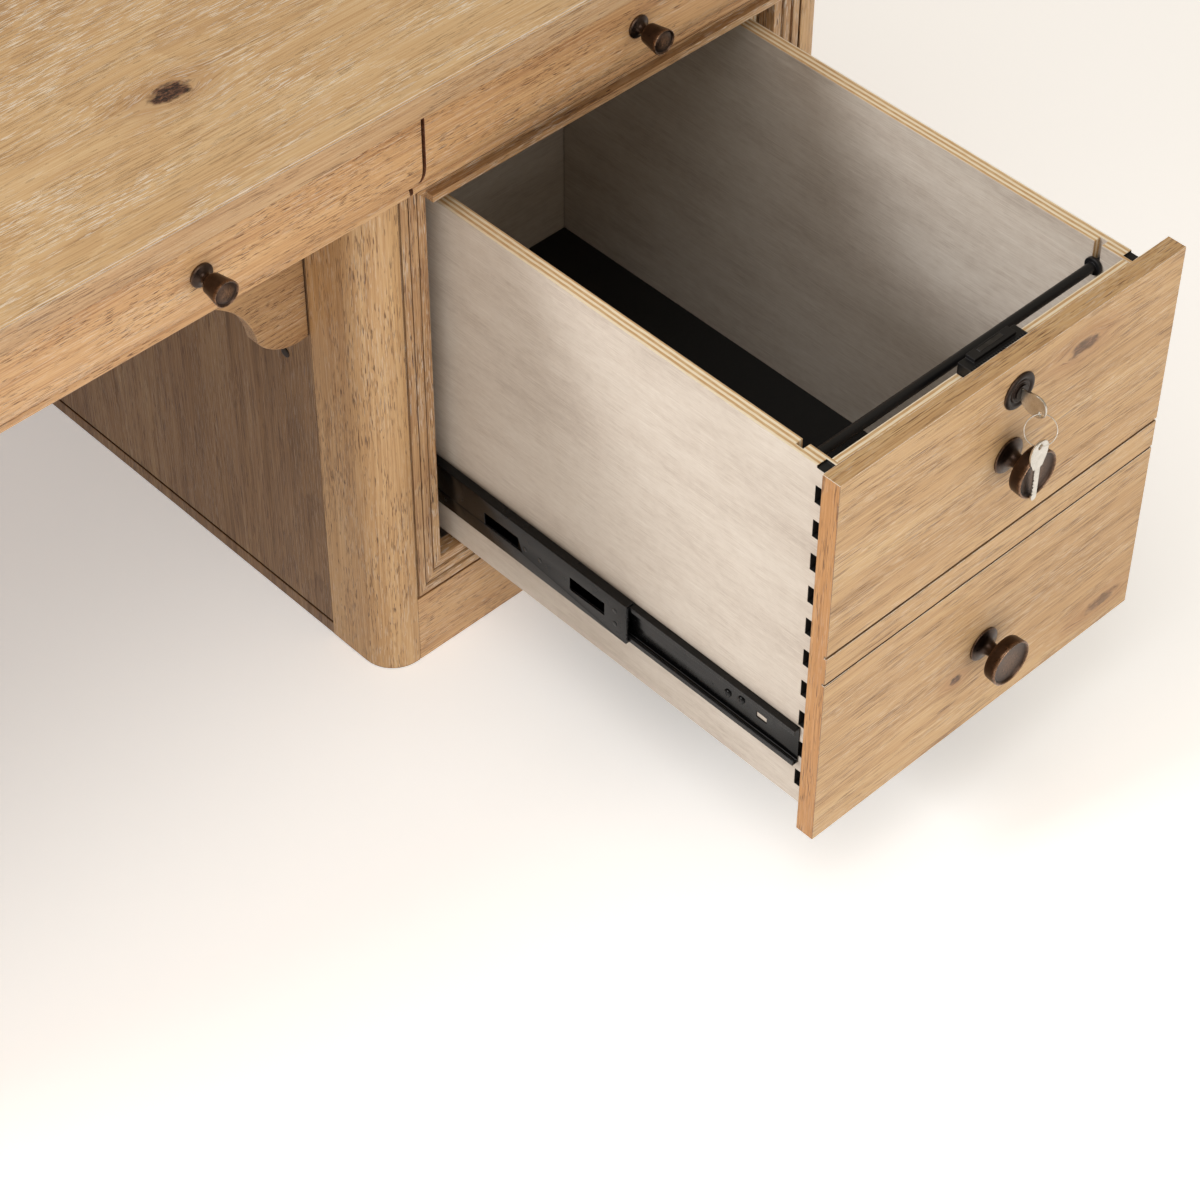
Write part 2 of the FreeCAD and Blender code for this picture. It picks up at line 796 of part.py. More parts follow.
def knob(label, rose_radius, head_radius, reach, head_share):
    """A turned knob that points along +Z before it is placed: rose, neck and head."""
    head_start = reach * (1 - head_share)
    rose_end = reach * KNOB_ROSE_SHARE
    neck = rose_radius * KNOB_NECK_SHARE
    points = [
        (ZERO, ZERO),
        (rose_radius, ZERO),
        (rose_radius, rose_end),
        (neck, rose_end),
        (neck, head_start),
        (head_radius, head_start),
        (head_radius, reach),
        (ZERO, reach),
    ]
    return turned(label, points)


# Knob proportions, as shares of the reach or of the radii.
KNOB_ROSE_SHARE = 0.08
KNOB_NECK_SHARE = 0.34
FILE_HEAD_SHARE = 0.4
FRIEZE_HEAD_SHARE = 0.6


def place_knob(body, x, y, z):
    """Stand a knob on a face that looks to -Y."""
    return place(body, x, y, z, X_AXIS, QUARTER_TURN)


def file_knobs(label, x, y):
    """The two knobs of a file front, one above the other."""
    knobs = []
    heights = (lock_z - size.lock_to_knob, file_bottom + file_front_height * KNOB_LOWER_SHARE)
    for number, height in enumerate(heights):
        body = knob(f"{label}_{number}", size.file_knob_rose_radius, size.file_knob_radius,
                    size.file_knob_reach, FILE_HEAD_SHARE)
        knobs.append(place_knob(body, x, y, height))
    return knobs


def frieze_knob(label):
    return knob(label, size.frieze_knob_rose_radius, size.frieze_knob_radius,
                size.frieze_knob_reach, FRIEZE_HEAD_SHARE)


def frieze_drawer(name, low_x, high_x, box_low_x, box_high_x, floor_z, knob_xs):
    """A frieze drawer: moulded front, open box of thin boards and its knobs."""
    node(f"{name}_drawer_front", frieze_front(f"{name}_front_board", low_x, high_x))
    thick = size.frieze_box_thickness
    top_z = floor_z + size.frieze_box_height
    y = (frieze_back_y, frieze_back_y + size.frieze_box_depth)
    tray_z = floor_z + thick
    parts = [
        board(f"{name}_box_left", (box_low_x, box_low_x + thick), y, (floor_z, top_z)),
        board(f"{name}_box_right", (box_high_x - thick, box_high_x), y, (floor_z, top_z)),
        board(f"{name}_box_front", (box_low_x + thick, box_high_x - thick),
              (y[0], y[0] + thick), (floor_z, top_z)),
        board(f"{name}_box_back", (box_low_x + thick, box_high_x - thick),
              (y[1] - thick, y[1]), (floor_z, top_z)),
        board(f"{name}_box_bottom", (box_low_x + thick, box_high_x - thick),
              (y[0] + thick, y[1] - thick), (tray_z - size.frieze_box_bottom_thickness, tray_z)),
    ]
    node(f"{name}_drawer_box", *parts)
    knobs = [place_knob(frieze_knob(f"{name}_knob_{i}"), x, frieze_face_y,
                        case_top - size.frieze_knob_drop) for i, x in enumerate(knob_xs)]
    node(f"{name}_drawer_knobs", *knobs)


def build_frieze_drawers():
    gap_x = xr + size.frieze_gap_past_kneehole
    half_gap = size.frieze_drawer_gap / 2
    end_x = outer_x - size.post_radius - half_gap
    box_low = xr + size.post_width + size.frieze_box_side_gap
    box_high = outer_x - size.post_width - size.frieze_box_side_gap
    floor_z = deck_top + size.sliding_gap
    low_x = gap_x + half_gap
    middle = (low_x + end_x) / 2
    frieze_drawer("right", low_x, end_x, box_low, box_high, floor_z, [middle])
    frieze_drawer("left", -end_x, -low_x, -box_high, -box_low, floor_z, [-middle])
    centre_floor = floor_z + size.centre_box_lift
    half_box = xr - size.frieze_box_side_gap
    knob_x = gap_x - size.centre_knob_inset
    frieze_drawer("centre", half_gap - gap_x, gap_x - half_gap, -half_box, half_box,
                  centre_floor, [knob_x, -knob_x])
    build_frieze_runners(box_low, box_high, centre_floor)


def build_frieze_runners(box_low, box_high, centre_floor):
    """Guide strips beside the end boxes and L-shaped ledges for the centre box."""
    y = (case_front_y + size.post_depth, frieze_back_y + size.frieze_box_depth)
    z = (deck_top, deck_top + size.frieze_box_height / 2)
    left = board("guide_left", (panel_in_x, box_low - size.sliding_gap), y, z)
    right = board("guide_right", (box_high + size.sliding_gap, panel_out_x), y, z)
    ledge_z = centre_floor - size.sliding_gap
    ledge_y = (front_y + size.base_rail_thickness, y[1])
    wall = board("ledge_wall", (xr - size.frieze_box_side_gap + size.sliding_gap, xr), ledge_y,
                 (ledge_z - size.centre_ledge_thickness, ledge_z + size.frieze_box_height / 2))
    shelf = board("ledge_shelf", (xr - size.centre_ledge_width, xr), ledge_y,
                  (ledge_z - size.centre_ledge_thickness, ledge_z))
    ledge = fused("centre_ledge", wall, shelf)
    pieces = [left, right, ledge]
    node("frieze_runners", *pieces, *[mirrored(f"{p.Name}_mirror", p) for p in pieces])


# File drawers

def file_front(label, y, bore=False):
    """The single front, grooved to read as two drawers."""
    x = (opening_left + size.file_front_side_gap, opening_right - size.file_front_side_gap)
    blank = board(f"{label}_blank", x, (y, y + size.file_front_thickness),
                  (file_bottom, file_bottom + file_front_height))
    tools = []
    for name, share, width in (("upper", GROOVE_UPPER_SHARE, size.upper_groove_width),
                               ("lower", GROOVE_LOWER_SHARE, size.groove_width)):
        z = file_bottom + file_front_height * share
        tools.append(board(
            f"{label}_groove_{name}", (x[0] - size.cut_overrun, x[1] + size.cut_overrun),
            (y - size.cut_overrun, y + size.groove_depth), (z, z + width)))
    if bore:
        tools.append(drum(f"{label}_bore", size.plug_barrel_radius + size.sliding_gap,
                          size.file_front_thickness + size.cut_overrun * 2, lock_x,
                          y + size.file_front_thickness + size.cut_overrun, lock_z,
                          X_AXIS, QUARTER_TURN))
    return minus(label, blank, *tools)


def file_box(label, y, lock_notch):
    """The deep box: front, two sides, back and bottom as separate boards."""
    thick = size.box_side_thickness
    back = y + box_depth
    inner = (box_left + thick, box_right - thick)
    z = (box_bottom, box_top)
    boards = {
        "left_side": board(f"{label}_left_board", (box_left, inner[0]), (y, back), z),
        "right_side": board(f"{label}_right_board", (inner[1], box_right), (y, back), z),
        "front": board(f"{label}_front_board", inner, (y, y + size.box_front_thickness), z),
        "back": board(f"{label}_back_board", inner, (back - thick, back), z),
        "bottom": board(f"{label}_bottom_board", inner,
                        (y + size.box_front_thickness, back - thick),
                        (box_bottom + size.box_bottom_rise,
                         box_bottom + size.box_bottom_rise + size.box_bottom_thickness)),
    }
    pins, sockets = box_pins(label, y, inner)
    boards["front"] = fused(f"{label}_front_pinned", boards["front"], *pins)
    for side, tools in sockets.items():
        boards[side] = minus(f"{label}_{side}_socketed", boards[side], *tools)
    if lock_notch:
        half = size.lock_case_width / 2 + size.sliding_gap
        notch = board(f"{label}_lock_notch", (lock_x - half, lock_x + half),
                      (y - size.cut_overrun, y + size.box_front_thickness + size.cut_overrun),
                      (lock_case_top - size.lock_case_height - size.sliding_gap,
                       box_top + size.cut_overrun))
        boards["front"] = minus(f"{label}_front_notched", boards["front"], notch)
        radius = size.rod_stub_radius + size.sliding_gap
        for side, edge, out in (("left_side", inner[0], -1), ("right_side", inner[1], 1)):
            low = edge + size.rod_groove_depth * out if out < 0 else edge - size.cut_overrun
            high = edge + size.cut_overrun if out < 0 else edge + size.rod_groove_depth
            slot = board(f"{label}_{side}_slot", (low, high),
                         (rod_y() - radius, rod_y() + radius),
                         (rod_z, box_top + size.cut_overrun))
            seat = drum(f"{label}_{side}_seat", radius, high - low, low, rod_y(),
                        rod_z, Y_AXIS, QUARTER_TURN)
            boards[side] = minus(f"{label}_{side}_grooved", boards[side],
                                 fused(f"{label}_{side}_groove", slot, seat))
    return boards


def box_pins(label, y, inner):
    """The front's short pins and the longer sockets that are routed into the sides for them.

    One more socket runs out through the top of each side, and holds no pin.
    """
    pin_y = (y, y + size.box_front_thickness)
    socket_y = (y - size.cut_overrun, y + size.box_socket_length)
    reach = size.box_side_thickness - size.box_pin_recess
    pins = []
    sockets = {"left_side": [], "right_side": []}
    room = box_top - box_bottom - size.box_pin_rise + size.box_pin_height / 2
    pin_count = int(float(room) / float(size.box_pin_pitch))
    for number in range(pin_count):
        low = (box_bottom + size.box_pin_rise + size.box_pin_pitch * number
               - size.box_pin_height / 2)
        z = (low, low + size.box_pin_height)
        name = f"{label}_pin_{number}"
        pins.append(board(name, (inner[0] - reach, inner[1] + reach), pin_y, z))
        for side, pin_x, socket_x in (
                ("left_side", (inner[0] - reach, inner[0]),
                 (box_left - size.cut_overrun, inner[0] - reach)),
                ("right_side", (inner[1], inner[1] + reach),
                 (inner[1] + reach, box_right + size.cut_overrun))):
            through = board(f"{name}_{side}_seat", pin_x, pin_y, z)
            socket = board(f"{name}_{side}_socket", socket_x, socket_y, z)
            sockets[side] += [through, socket]
            if number == pin_count - 1:
                open_z = (low + size.box_pin_pitch, box_top + size.cut_overrun)
                sockets[side].append(board(f"{name}_{side}_open", socket_x, socket_y, open_z))
    return pins, sockets


def rod_y():
    return file_open_y + size.rod_setback


def channel(label, web_x, open_sign, depth, height, y, slot, shares):
    """A slide member: a C channel along Y, open towards open_sign along X, with its slots."""
    centre_z = slide_z
    length = size.slide_length
    gauge = size.slide_gauge
    half = height / 2
    web = board(f"{label}_web",
                (web_x, web_x + gauge) if open_sign > 0 else (web_x - gauge, web_x),
                (y, y + length), (centre_z - half, centre_z + half))
    reach = (web_x, web_x + depth) if open_sign > 0 else (web_x - depth, web_x)
    low = board(f"{label}_low", reach, (y, y + length), (centre_z - half, centre_z - half + gauge))
    high = board(f"{label}_high", reach, (y, y + length),
                 (centre_z + half - gauge, centre_z + half))
    piece = fused(f"{label}_channel", web, low, high)
    slot_length, slot_height = slot
    across = (web_x - gauge - size.cut_overrun, web_x + gauge + size.cut_overrun)
    slots = []
    for number, share in enumerate(shares):
        slot_y = y + length * share
        slots.append(board(f"{label}_slot_{number}", across, (slot_y, slot_y + slot_length),
                           (centre_z - slot_height / 2, centre_z + slot_height / 2)))
    return minus(label, piece, *slots)


# Where the slots and the small holes sit along a slide member, as shares of its length.
SLIDE_SLOT_SHARES = (0.055, 0.28, 0.78)
SLIDE_HOLE_SHARES = (0.075, 0.5, 0.9)


def slides(prefix, travel, middle_travel, mirror):
    """Three nested members on each side of a file drawer, each drawn out by its own travel."""
    y0 = front_y + size.slide_setback
    gap = size.sliding_gap
    gauge = size.slide_gauge
    middle_height = size.slide_height - (gauge + gap) * 2
    inner_height = middle_height - (gauge + gap) * 2
    depth = size.slide_thickness - gap - gauge
    slot = (size.slide_slot_length, size.slide_slot_height)
    hole = (size.slide_hole_length, size.slide_hole_height)
    groups = {"cabinet": [], "middle": [], "drawer": []}
    for side, case_x, box_x, sign in (
            ("a", case_left, box_left, 1), ("b", case_right, box_right, -1)):
        groups["cabinet"].append(channel(
            f"{prefix}_cabinet_{side}", case_x, sign, depth, size.slide_height, y0,
            slot, SLIDE_SLOT_SHARES))
        groups["middle"].append(channel(
            f"{prefix}_middle_{side}", case_x + (gauge + gap) * sign, sign,
            depth - gauge - gap * 2, middle_height, y0 - middle_travel, slot, SLIDE_SLOT_SHARES))
        groups["drawer"].append(channel(
            f"{prefix}_drawer_{side}", box_x, -sign, depth - gauge * 2 - gap * 2, inner_height,
            y0 + size.drawer_member_setback - travel, hole, SLIDE_HOLE_SHARES))
    names = {"cabinet": "slide_cabinet_members", "middle": "slide_middle_members",
             "drawer": "slide_drawer_members"}
    for kind, pieces in groups.items():
        if mirror:
            pieces = [mirrored(f"{p.Name}_mirror", p) for p in pieces]
        node(f"{prefix}_{names[kind]}", *pieces)


def build_right_file_drawer():
    front = file_front("right_front", file_open_y, bore=True)
    node("right_file_front", front)
    box_y = file_open_y + size.file_front_thickness
    boards = file_box("right_box", box_y, True)
    node("right_file_box_front", boards["front"])
    node("right_file_left_side", boards["left_side"])
    node("right_file_right_side", boards["right_side"])
    node("right_file_back", boards["back"])
    node("right_file_bottom", boards["bottom"])
    middle = (opening_left + opening_right) / 2
    node("right_file_knobs", *file_knobs("right_file_knob", middle, file_open_y))
    slides("right", size.file_travel, size.middle_travel, False)
    build_rod()
    build_lock()


def build_left_file_drawer():
    """The same drawer on the left, closed and without the lock, made as a mirror image."""
    front = file_front("left_front", file_closed_y)
    node("left_file_front", mirrored("left_file_front_mirror", front))
    boards = file_box("left_box", file_closed_y + size.file_front_thickness, False)
    node("left_file_box", *[mirrored(f"left_file_{name}", piece) for name, piece in boards.items()])
    middle = (opening_left + opening_right) / 2
    node("left_file_knobs", *file_knobs("left_file_knob", -middle, file_closed_y))
    slides("left", ZERO, ZERO, True)


def build_rod():
    """The rod that hanging folders ride on, with a stub at each end and a flanged cap at one."""
    inner_left = box_left + size.box_side_thickness
    inner_right = box_right - size.box_side_thickness
    stub = size.rod_groove_depth - size.sliding_gap
    y = rod_y()
    z = rod_z
    low = inner_left + size.sliding_gap
    high = inner_right - size.sliding_gap
    pieces = [
        drum("rod_bar", size.rod_radius, high - low, low, y, z, Y_AXIS, QUARTER_TURN),
        drum("rod_cap", size.rod_cap_radius, size.rod_cap_thickness,
             high - size.rod_cap_thickness, y, z, Y_AXIS, QUARTER_TURN),
        drum("rod_stubs", size.rod_stub_radius, inner_right - inner_left + stub * 2,
             inner_left - stub, y, z, Y_AXIS, QUARTER_TURN),
    ]
    node("file_rod", fused("rod_whole", *pieces))


# Lock and keys

def build_lock():
    """Lock case, escutcheon, turning plug, rising bolt and the keys on their ring."""
    face_y = file_open_y
    case_y = face_y + size.file_front_thickness
    half = size.lock_case_width / 2
    gap = size.sliding_gap
    top = lock_case_top
    low = top - size.lock_case_height
    case = board("lock_case", (lock_x - half, lock_x + half),
                 (case_y, case_y + size.lock_case_depth), (low, top))
    bolt_y = case_y + size.bolt_setback
    slot = board("bolt_slot",
                 (lock_x - size.bolt_width / 2 - gap, lock_x + size.bolt_width / 2 + gap),
                 (bolt_y - gap, bolt_y + size.bolt_thickness + gap),
                 (top - size.bolt_length - size.lock_case_wall, top + size.cut_overrun))
    bore = drum("case_bore", size.plug_barrel_radius + gap,
                size.plug_barrel_length + size.cut_overrun, lock_x,
                face_y + size.plug_barrel_length, lock_z, X_AXIS, QUARTER_TURN)
    # the case's head is a smaller raised block round the bolt
    over = size.cut_overrun
    block = size.lock_block_width / 2
    above = (top - size.lock_block_rise, top + over)
    full_y = (case_y - over, case_y + size.lock_case_depth + over)
    steps = [
        board("case_step_front", (lock_x - half - over, lock_x + half + over),
              (case_y - over, case_y + size.lock_block_setback), above),
        board("case_step_left", (lock_x - half - over, lock_x - block), full_y, above),
        board("case_step_right", (lock_x + block, lock_x + half + over), full_y, above),
    ]
    node("lock_housing", minus("lock_case_cut", case, slot, bore, *steps))
    node("lock_bolt", board(
        "bolt_bar", (lock_x - size.bolt_width / 2, lock_x + size.bolt_width / 2),
        (bolt_y, bolt_y + size.bolt_thickness), (top - size.bolt_length, top)))
    plate = drum("escutcheon_disc", size.escutcheon_radius, size.escutcheon_thickness, lock_x,
                 face_y, lock_z, X_AXIS, QUARTER_TURN)
    hole = drum("escutcheon_hole", size.plug_barrel_radius + gap,
                size.escutcheon_thickness + size.cut_overrun * 2, lock_x,
                face_y + size.cut_overrun, lock_z, X_AXIS, QUARTER_TURN)
    node("lock_escutcheon", minus("escutcheon_ring", plate, hole))
    barrel = drum("plug_barrel", size.plug_barrel_radius,
                  size.plug_barrel_length + size.plug_nose - size.cut_overrun, lock_x,
                  face_y + size.plug_barrel_length - size.cut_overrun, lock_z,
                  X_AXIS, QUARTER_TURN)
    keyway = board("plug_keyway",
                   (lock_x - size.key_thickness / 2, lock_x + size.key_thickness / 2),
                   (face_y - size.plug_nose - size.cut_overrun, key_tip_y(face_y)),
                   (lock_z - size.key_blade_width / 2, lock_z + size.key_blade_width / 2))
    node("lock_plug", minus("plug_whole", barrel, keyway))
    build_keys(face_y)
    strike_y = front_y + size.strike_setback
    node("lock_strike", board(
        "strike_bar", (lock_x - half, lock_x + half),
        (strike_y, strike_y + size.strike_thickness),
        (top + size.strike_clearance, deck_bottom)))


def key_tip_y(face_y):
    return face_y - size.key_bow_reach - size.key_bow_radius + size.key_length


def notches(label, tip, edge, along, fixed):
    """Square cuts set on edge along a blade: along is the blade's direction, Y or Z."""
    cuts = []
    for number, share in enumerate(KEY_NOTCH_SHARES):
        name = f"{label}_{number}"
        spot = tip - size.key_length * share if along == "Y" else tip + size.key_length * share
        if along == "Y":
            ends = (fixed - size.key_thickness, fixed + size.key_thickness)
            cut = board(name, ends, (ZERO, size.key_notch), (ZERO, size.key_notch))
            place(cut, ends[0], spot, edge - size.key_notch * HALF_SHARE, X_AXIS, QUARTER_TURN / 2)
        else:
            ends = (fixed - size.key_thickness, fixed + size.key_thickness)
            cut = board(name, (ZERO, size.key_notch), ends, (ZERO, size.key_notch))
            place(cut, edge - size.key_notch * HALF_SHARE, ends[0], spot, Y_AXIS, QUARTER_TURN / 2)
        cuts.append(cut)
    return cuts


def build_keys(face_y):
    hole_y = face_y - size.key_hole_reach
    hole_z = lock_z - size.key_hole_drop
    half = size.key_thickness / 2
    bow = drum("key_bow", size.key_bow_radius, size.key_thickness, lock_x - half,
               face_y - size.key_bow_reach, lock_z - size.key_bow_drop, Y_AXIS, QUARTER_TURN)
    blade = board("key_blade", (lock_x - half, lock_x + half),
                  (face_y - size.key_bow_reach, key_tip_y(face_y)),
                  (lock_z - size.key_blade_width / 2, lock_z + size.key_blade_width / 2))
    hole = drum("key_hole", size.key_hole_radius, size.key_thickness + size.cut_overrun * 2,
                lock_x - half - size.cut_overrun, hole_y, hole_z, Y_AXIS, QUARTER_TURN)
    node("key", minus("key_cut", fused("key_whole", bow, blade), hole,
                      *notches("key_notch", key_tip_y(face_y), lock_z + size.key_blade_width / 2,
                               "Y", lock_x)))

    # The ring stands at 45 degrees between the two keys and leans outwards.
    lean = math.degrees(math.asin(RING_LEAN_SHARE / math.cos(math.radians(RING_TURN))))
    inner = size.ring_diameter / 2 - size.ring_wire_radius
    outer = size.ring_diameter / 2 + size.ring_wire_radius
    thick = size.ring_wire_radius
    ring = turned("ring_wire", [(inner, -thick), (outer, -thick), (outer, thick), (inner, thick)])
    upright = FreeCAD.Rotation(X_AXIS, QUARTER_TURN)
    turn = FreeCAD.Rotation(Z_AXIS, -RING_TURN)
    tilt = FreeCAD.Rotation(X_AXIS, -lean)
    rotation = turn.multiply(tilt).multiply(upright)
    down = turn.multiply(tilt).multVec(FreeCAD.Vector(0, 0, -1))
    half_ring = size.ring_diameter / 2
    place(ring, lock_x + half_ring * down.x, hole_y + half_ring * down.y,
          hole_z + half_ring * down.z, rotation.Axis, math.degrees(rotation.Angle))
    node("key_ring", ring)

    spare_x = lock_x + size.ring_diameter * down.x
    spare_y = hole_y + size.ring_diameter * down.y
    spare_z = hole_z + size.ring_diameter * down.z
    bow_z = spare_z - size.key_bow_radius + size.key_hole_radius * 2
    spare_bow = drum("spare_bow", size.key_bow_radius, size.key_thickness, spare_x,
                     spare_y + half, bow_z, X_AXIS, QUARTER_TURN)
    spare_blade = board("spare_blade",
                        (spare_x - size.key_blade_width / 2, spare_x + size.key_blade_width / 2),
                        (spare_y - half, spare_y + half),
                        (bow_z + size.key_bow_radius - size.key_length, bow_z))
    spare_hole = drum("spare_hole", size.key_hole_radius,
                      size.key_thickness + size.cut_overrun * 2, spare_x,
                      spare_y + half + size.cut_overrun, spare_z, X_AXIS, QUARTER_TURN)
    node("spare_key", minus("spare_cut", fused("spare_whole", spare_bow, spare_blade), spare_hole,
                            *notches("spare_notch", bow_z + size.key_bow_radius - size.key_length,
                                     spare_x - size.key_blade_width / 2, "Z", spare_y)))


build_top()
build_posts()
build_panels()
build_mouldings()
build_runner_panels()
build_kneehole()
build_frieze_ends()
build_frieze_drawers()
build_right_file_drawer()
build_left_file_drawer()
doc.recompute()

for thing in doc.Objects:
    if "Invalid" in thing.State or "Error" in thing.State:
        raise RuntimeError(f"{thing.Label} did not build: {thing.State}")
for item in nodes:
    shape = item.Shape
    if shape.isNull() or not shape.isValid():
        raise RuntimeError(f"{item.Label} has no valid shape")
    shape.exportStep(f"parts/{item.Label}.step")
    print(f"{item.Label}: {len(shape.Solids)} solids, {shape.Volume / 1e3:.1f} cm3")
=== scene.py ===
import json
import math
from functools import partial

import bmesh
import bpy
from mathutils import Matrix, Vector

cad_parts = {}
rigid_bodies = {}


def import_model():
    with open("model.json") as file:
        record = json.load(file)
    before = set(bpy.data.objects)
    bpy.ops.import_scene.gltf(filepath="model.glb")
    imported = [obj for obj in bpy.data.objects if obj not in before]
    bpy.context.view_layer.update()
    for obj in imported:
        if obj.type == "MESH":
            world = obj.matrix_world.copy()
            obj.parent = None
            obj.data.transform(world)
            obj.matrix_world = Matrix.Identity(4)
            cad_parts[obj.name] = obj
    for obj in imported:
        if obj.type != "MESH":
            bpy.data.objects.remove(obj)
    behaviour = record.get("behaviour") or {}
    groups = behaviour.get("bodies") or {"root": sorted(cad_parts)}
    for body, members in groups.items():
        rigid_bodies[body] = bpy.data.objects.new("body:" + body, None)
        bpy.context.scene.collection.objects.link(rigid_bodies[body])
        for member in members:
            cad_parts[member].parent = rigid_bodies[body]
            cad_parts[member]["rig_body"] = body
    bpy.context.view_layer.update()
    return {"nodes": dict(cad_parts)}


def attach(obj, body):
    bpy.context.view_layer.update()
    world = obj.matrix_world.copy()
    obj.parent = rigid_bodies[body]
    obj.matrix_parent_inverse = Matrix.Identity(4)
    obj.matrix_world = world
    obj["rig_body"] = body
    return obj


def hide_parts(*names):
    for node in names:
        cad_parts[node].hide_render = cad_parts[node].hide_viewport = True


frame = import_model()
nodes = frame["nodes"]

MM = 0.001
METRE_IN_MM = 1000.0


def box(node_name):
    """The low and high corners of a node's box in mm, to a thousandth."""
    spots = [corner.co for corner in nodes[node_name].data.vertices]
    return [[round(end(spot[axis] for spot in spots) / MM, 3) for axis in range(3)]
            for end in (min, max)]


def middle(node_name):
    """The middle of a node's box in mm."""
    return [(low + high) / 2 for low, high in zip(*box(node_name))]


def colour(code):
    """Linear colour from an sRGB hex value."""
    parts = [int(code[i : i + 2], 16) / 255 for i in (1, 3, 5)]
    linear = [p / 12.92 if p <= 0.04045 else ((p + 0.055) / 1.055) ** 2.4 for p in parts]
    return (*linear, 1.0)


def put(tree, kind, inputs=(), stops=(), **settings):
    """Adds one node with its settings and links; an input is a value, a socket or a node."""
    node = tree.nodes.new(kind if "Node" in kind else f"ShaderNode{kind}")
    for name, value in settings.items():
        setattr(node, name, value)
    for number, (place, shade) in enumerate(stops):
        marks = node.color_ramp.elements
        mark = marks.new(place) if number > 1 else marks[number]
        mark.position = place
        mark.color = colour(shade)
    pairs = inputs.items() if isinstance(inputs, dict) else enumerate(inputs)
    for key, value in pairs:
        if isinstance(value, bpy.types.Node):
            value = next(socket for socket in value.outputs if socket.enabled)
        if isinstance(value, bpy.types.NodeSocket):
            tree.links.new(value, node.inputs[key])
        else:
            node.inputs[key].default_value = value
    return node


# Sockets of a Mix node that blends colours: how much, the colour below, and the one laid over it.
FACTOR = 0
UNDER = 6
OVER = 7


def blank_material(name):
    """An empty node material, and the function that adds nodes to it."""
    material = bpy.data.materials.new(name)
    material.use_nodes = True
    material.node_tree.nodes.clear()
    return material, partial(put, material.node_tree)


def in_mm(add, order="XYZ"):
    """Object coordinates in mm, with the axes put in order: along the grain, across and deep."""
    where = add("TexCoord").outputs["Object"]
    apart = add("SeparateXYZ", (where,))
    turned = add("CombineXYZ", [apart.outputs[axis] for axis in order])
    return add("VectorMath", {"Vector": turned, "Scale": METRE_IN_MM}, operation="SCALE")


def patterns(add, place, table, seed):
    """Noises stretched to sizes in mm: name, size along, size across, detail and roughness."""
    made = {}
    for number, (name, along, across, detail, rough) in enumerate(table):
        shares = (1.0 / along, 1.0 / across, 1.0 / across)
        shift = (seed + number * 7.0, seed * 1.7, seed * 2.3)
        spot = add("VectorMath", (place, shares, shift), operation="MULTIPLY_ADD")
        made[name] = add(
            "TexNoise", {"Vector": spot, "Scale": 1.0, "Detail": detail, "Roughness": rough}
        ).outputs["Fac"]
    return made


# Radius in metres that the lacquer keeps over an arris, and how far the painted shade in corners
# reaches.
ARRIS_RADIUS = 0.0008
CORNER_SHADE_REACH = 0.0045
# Shares of open sky at which a corner starts to take painted shade, and at which that shade is
# full.
CORNER_SHADE_STARTS = 0.74
CORNER_SHADE_FULL = 0.4


def arris(add):
    """A normal rounded over sharp edges, and a mask of those edges."""
    rounded = add("Bevel", {"Radius": ARRIS_RADIUS}, samples=4)
    flat = add("NewGeometry").outputs["Normal"]
    facing = add("VectorMath", (rounded, flat), operation="DOT_PRODUCT").outputs["Value"]
    edge = add("MapRange", (facing, 0.98, 0.84), interpolation_type="SMOOTHSTEP")
    return rounded, edge


def corner_shade_mask(add):
    """A mask of the inner corners and gaps where shade falls, which carries the painted shade."""
    open_share = add("AmbientOcclusion", {"Distance": CORNER_SHADE_REACH}, samples=6).outputs["AO"]
    return add("MapRange", (open_share, CORNER_SHADE_STARTS, CORNER_SHADE_FULL),
               interpolation_type="SMOOTHSTEP")


# Oak grain: name, size along and across in mm, detail, roughness. The fibres and pores are
# drawn about half as wide again as real ones, so that they still show at the picture's scale.
OAK_GRAIN = (
    ("broad", 620.0, 60.0, 2.0, 0.5),
    ("streak", 300.0, 9.0, 2.0, 0.55),
    ("fibre", 110.0, 1.7, 2.0, 0.55),
    ("jagged", 70.0, 9.0, 2.0, 0.5),
    ("rub", 30.0, 12.0, 2.0, 0.5),
    ("dash", 17.0, 1.1, 1.0, 0.5),
    ("lime_patch", 170.0, 30.0, 2.0, 0.5),
    ("pore_patch", 90.0, 16.0, 2.0, 0.5),
    ("fleck", 22.0, 2.6, 2.0, 0.6),
)
# Noises that don't bend with the grain: its sway, a knot's outline and the crumbled bark in it.
OAK_STILL = (
    ("sway", 420.0, 90.0, 2.0, 0.5),
    ("wobble", 16.0, 8.0, 3.0, 0.6),
    ("crumb", 7.0, 2.8, 3.0, 0.7),
)
# In mm: the width of a growth ring, how far the heart wanders under the face, and how far apart
# the stretches of grain are that two planks are cut from.
GROWTH_RING = 6.5
HEART_DRIFT = 90.0
PLANK_STRETCH = 3000.0
# A knot, in radii: how far its outline wanders and pushes the grain, and where core and halo fade.
KNOT_WOBBLE = 1.6
KNOT_PUSH = 2.2
KNOT_CORE = (1.9, 1.45)
KNOT_FADE = (4.6, 1.5)
# A glue line between planks: it fades in between these distances in mm, up to this strength.
GLUE_REACH = (0.9, 0.15)
GLUE_STRENGTH = 0.4
# How much each noise adds to the tone, from wide bands down to single fibres.
TONE_SHARES = (("broad", 0.42), ("streak", 0.4), ("fibre", 0.95))
PLANK_TONE_SHARE = 0.2
# Levels of a noise between which the marks made of it fade in.
OAK_FADES = {
    "dash": (0.57, 0.63),
    "lime_patch": (0.36, 0.6),
    "pore": (0.585, 0.65),
    "pore_patch": (0.38, 0.56),
    "fleck": (0.66, 0.72),
}

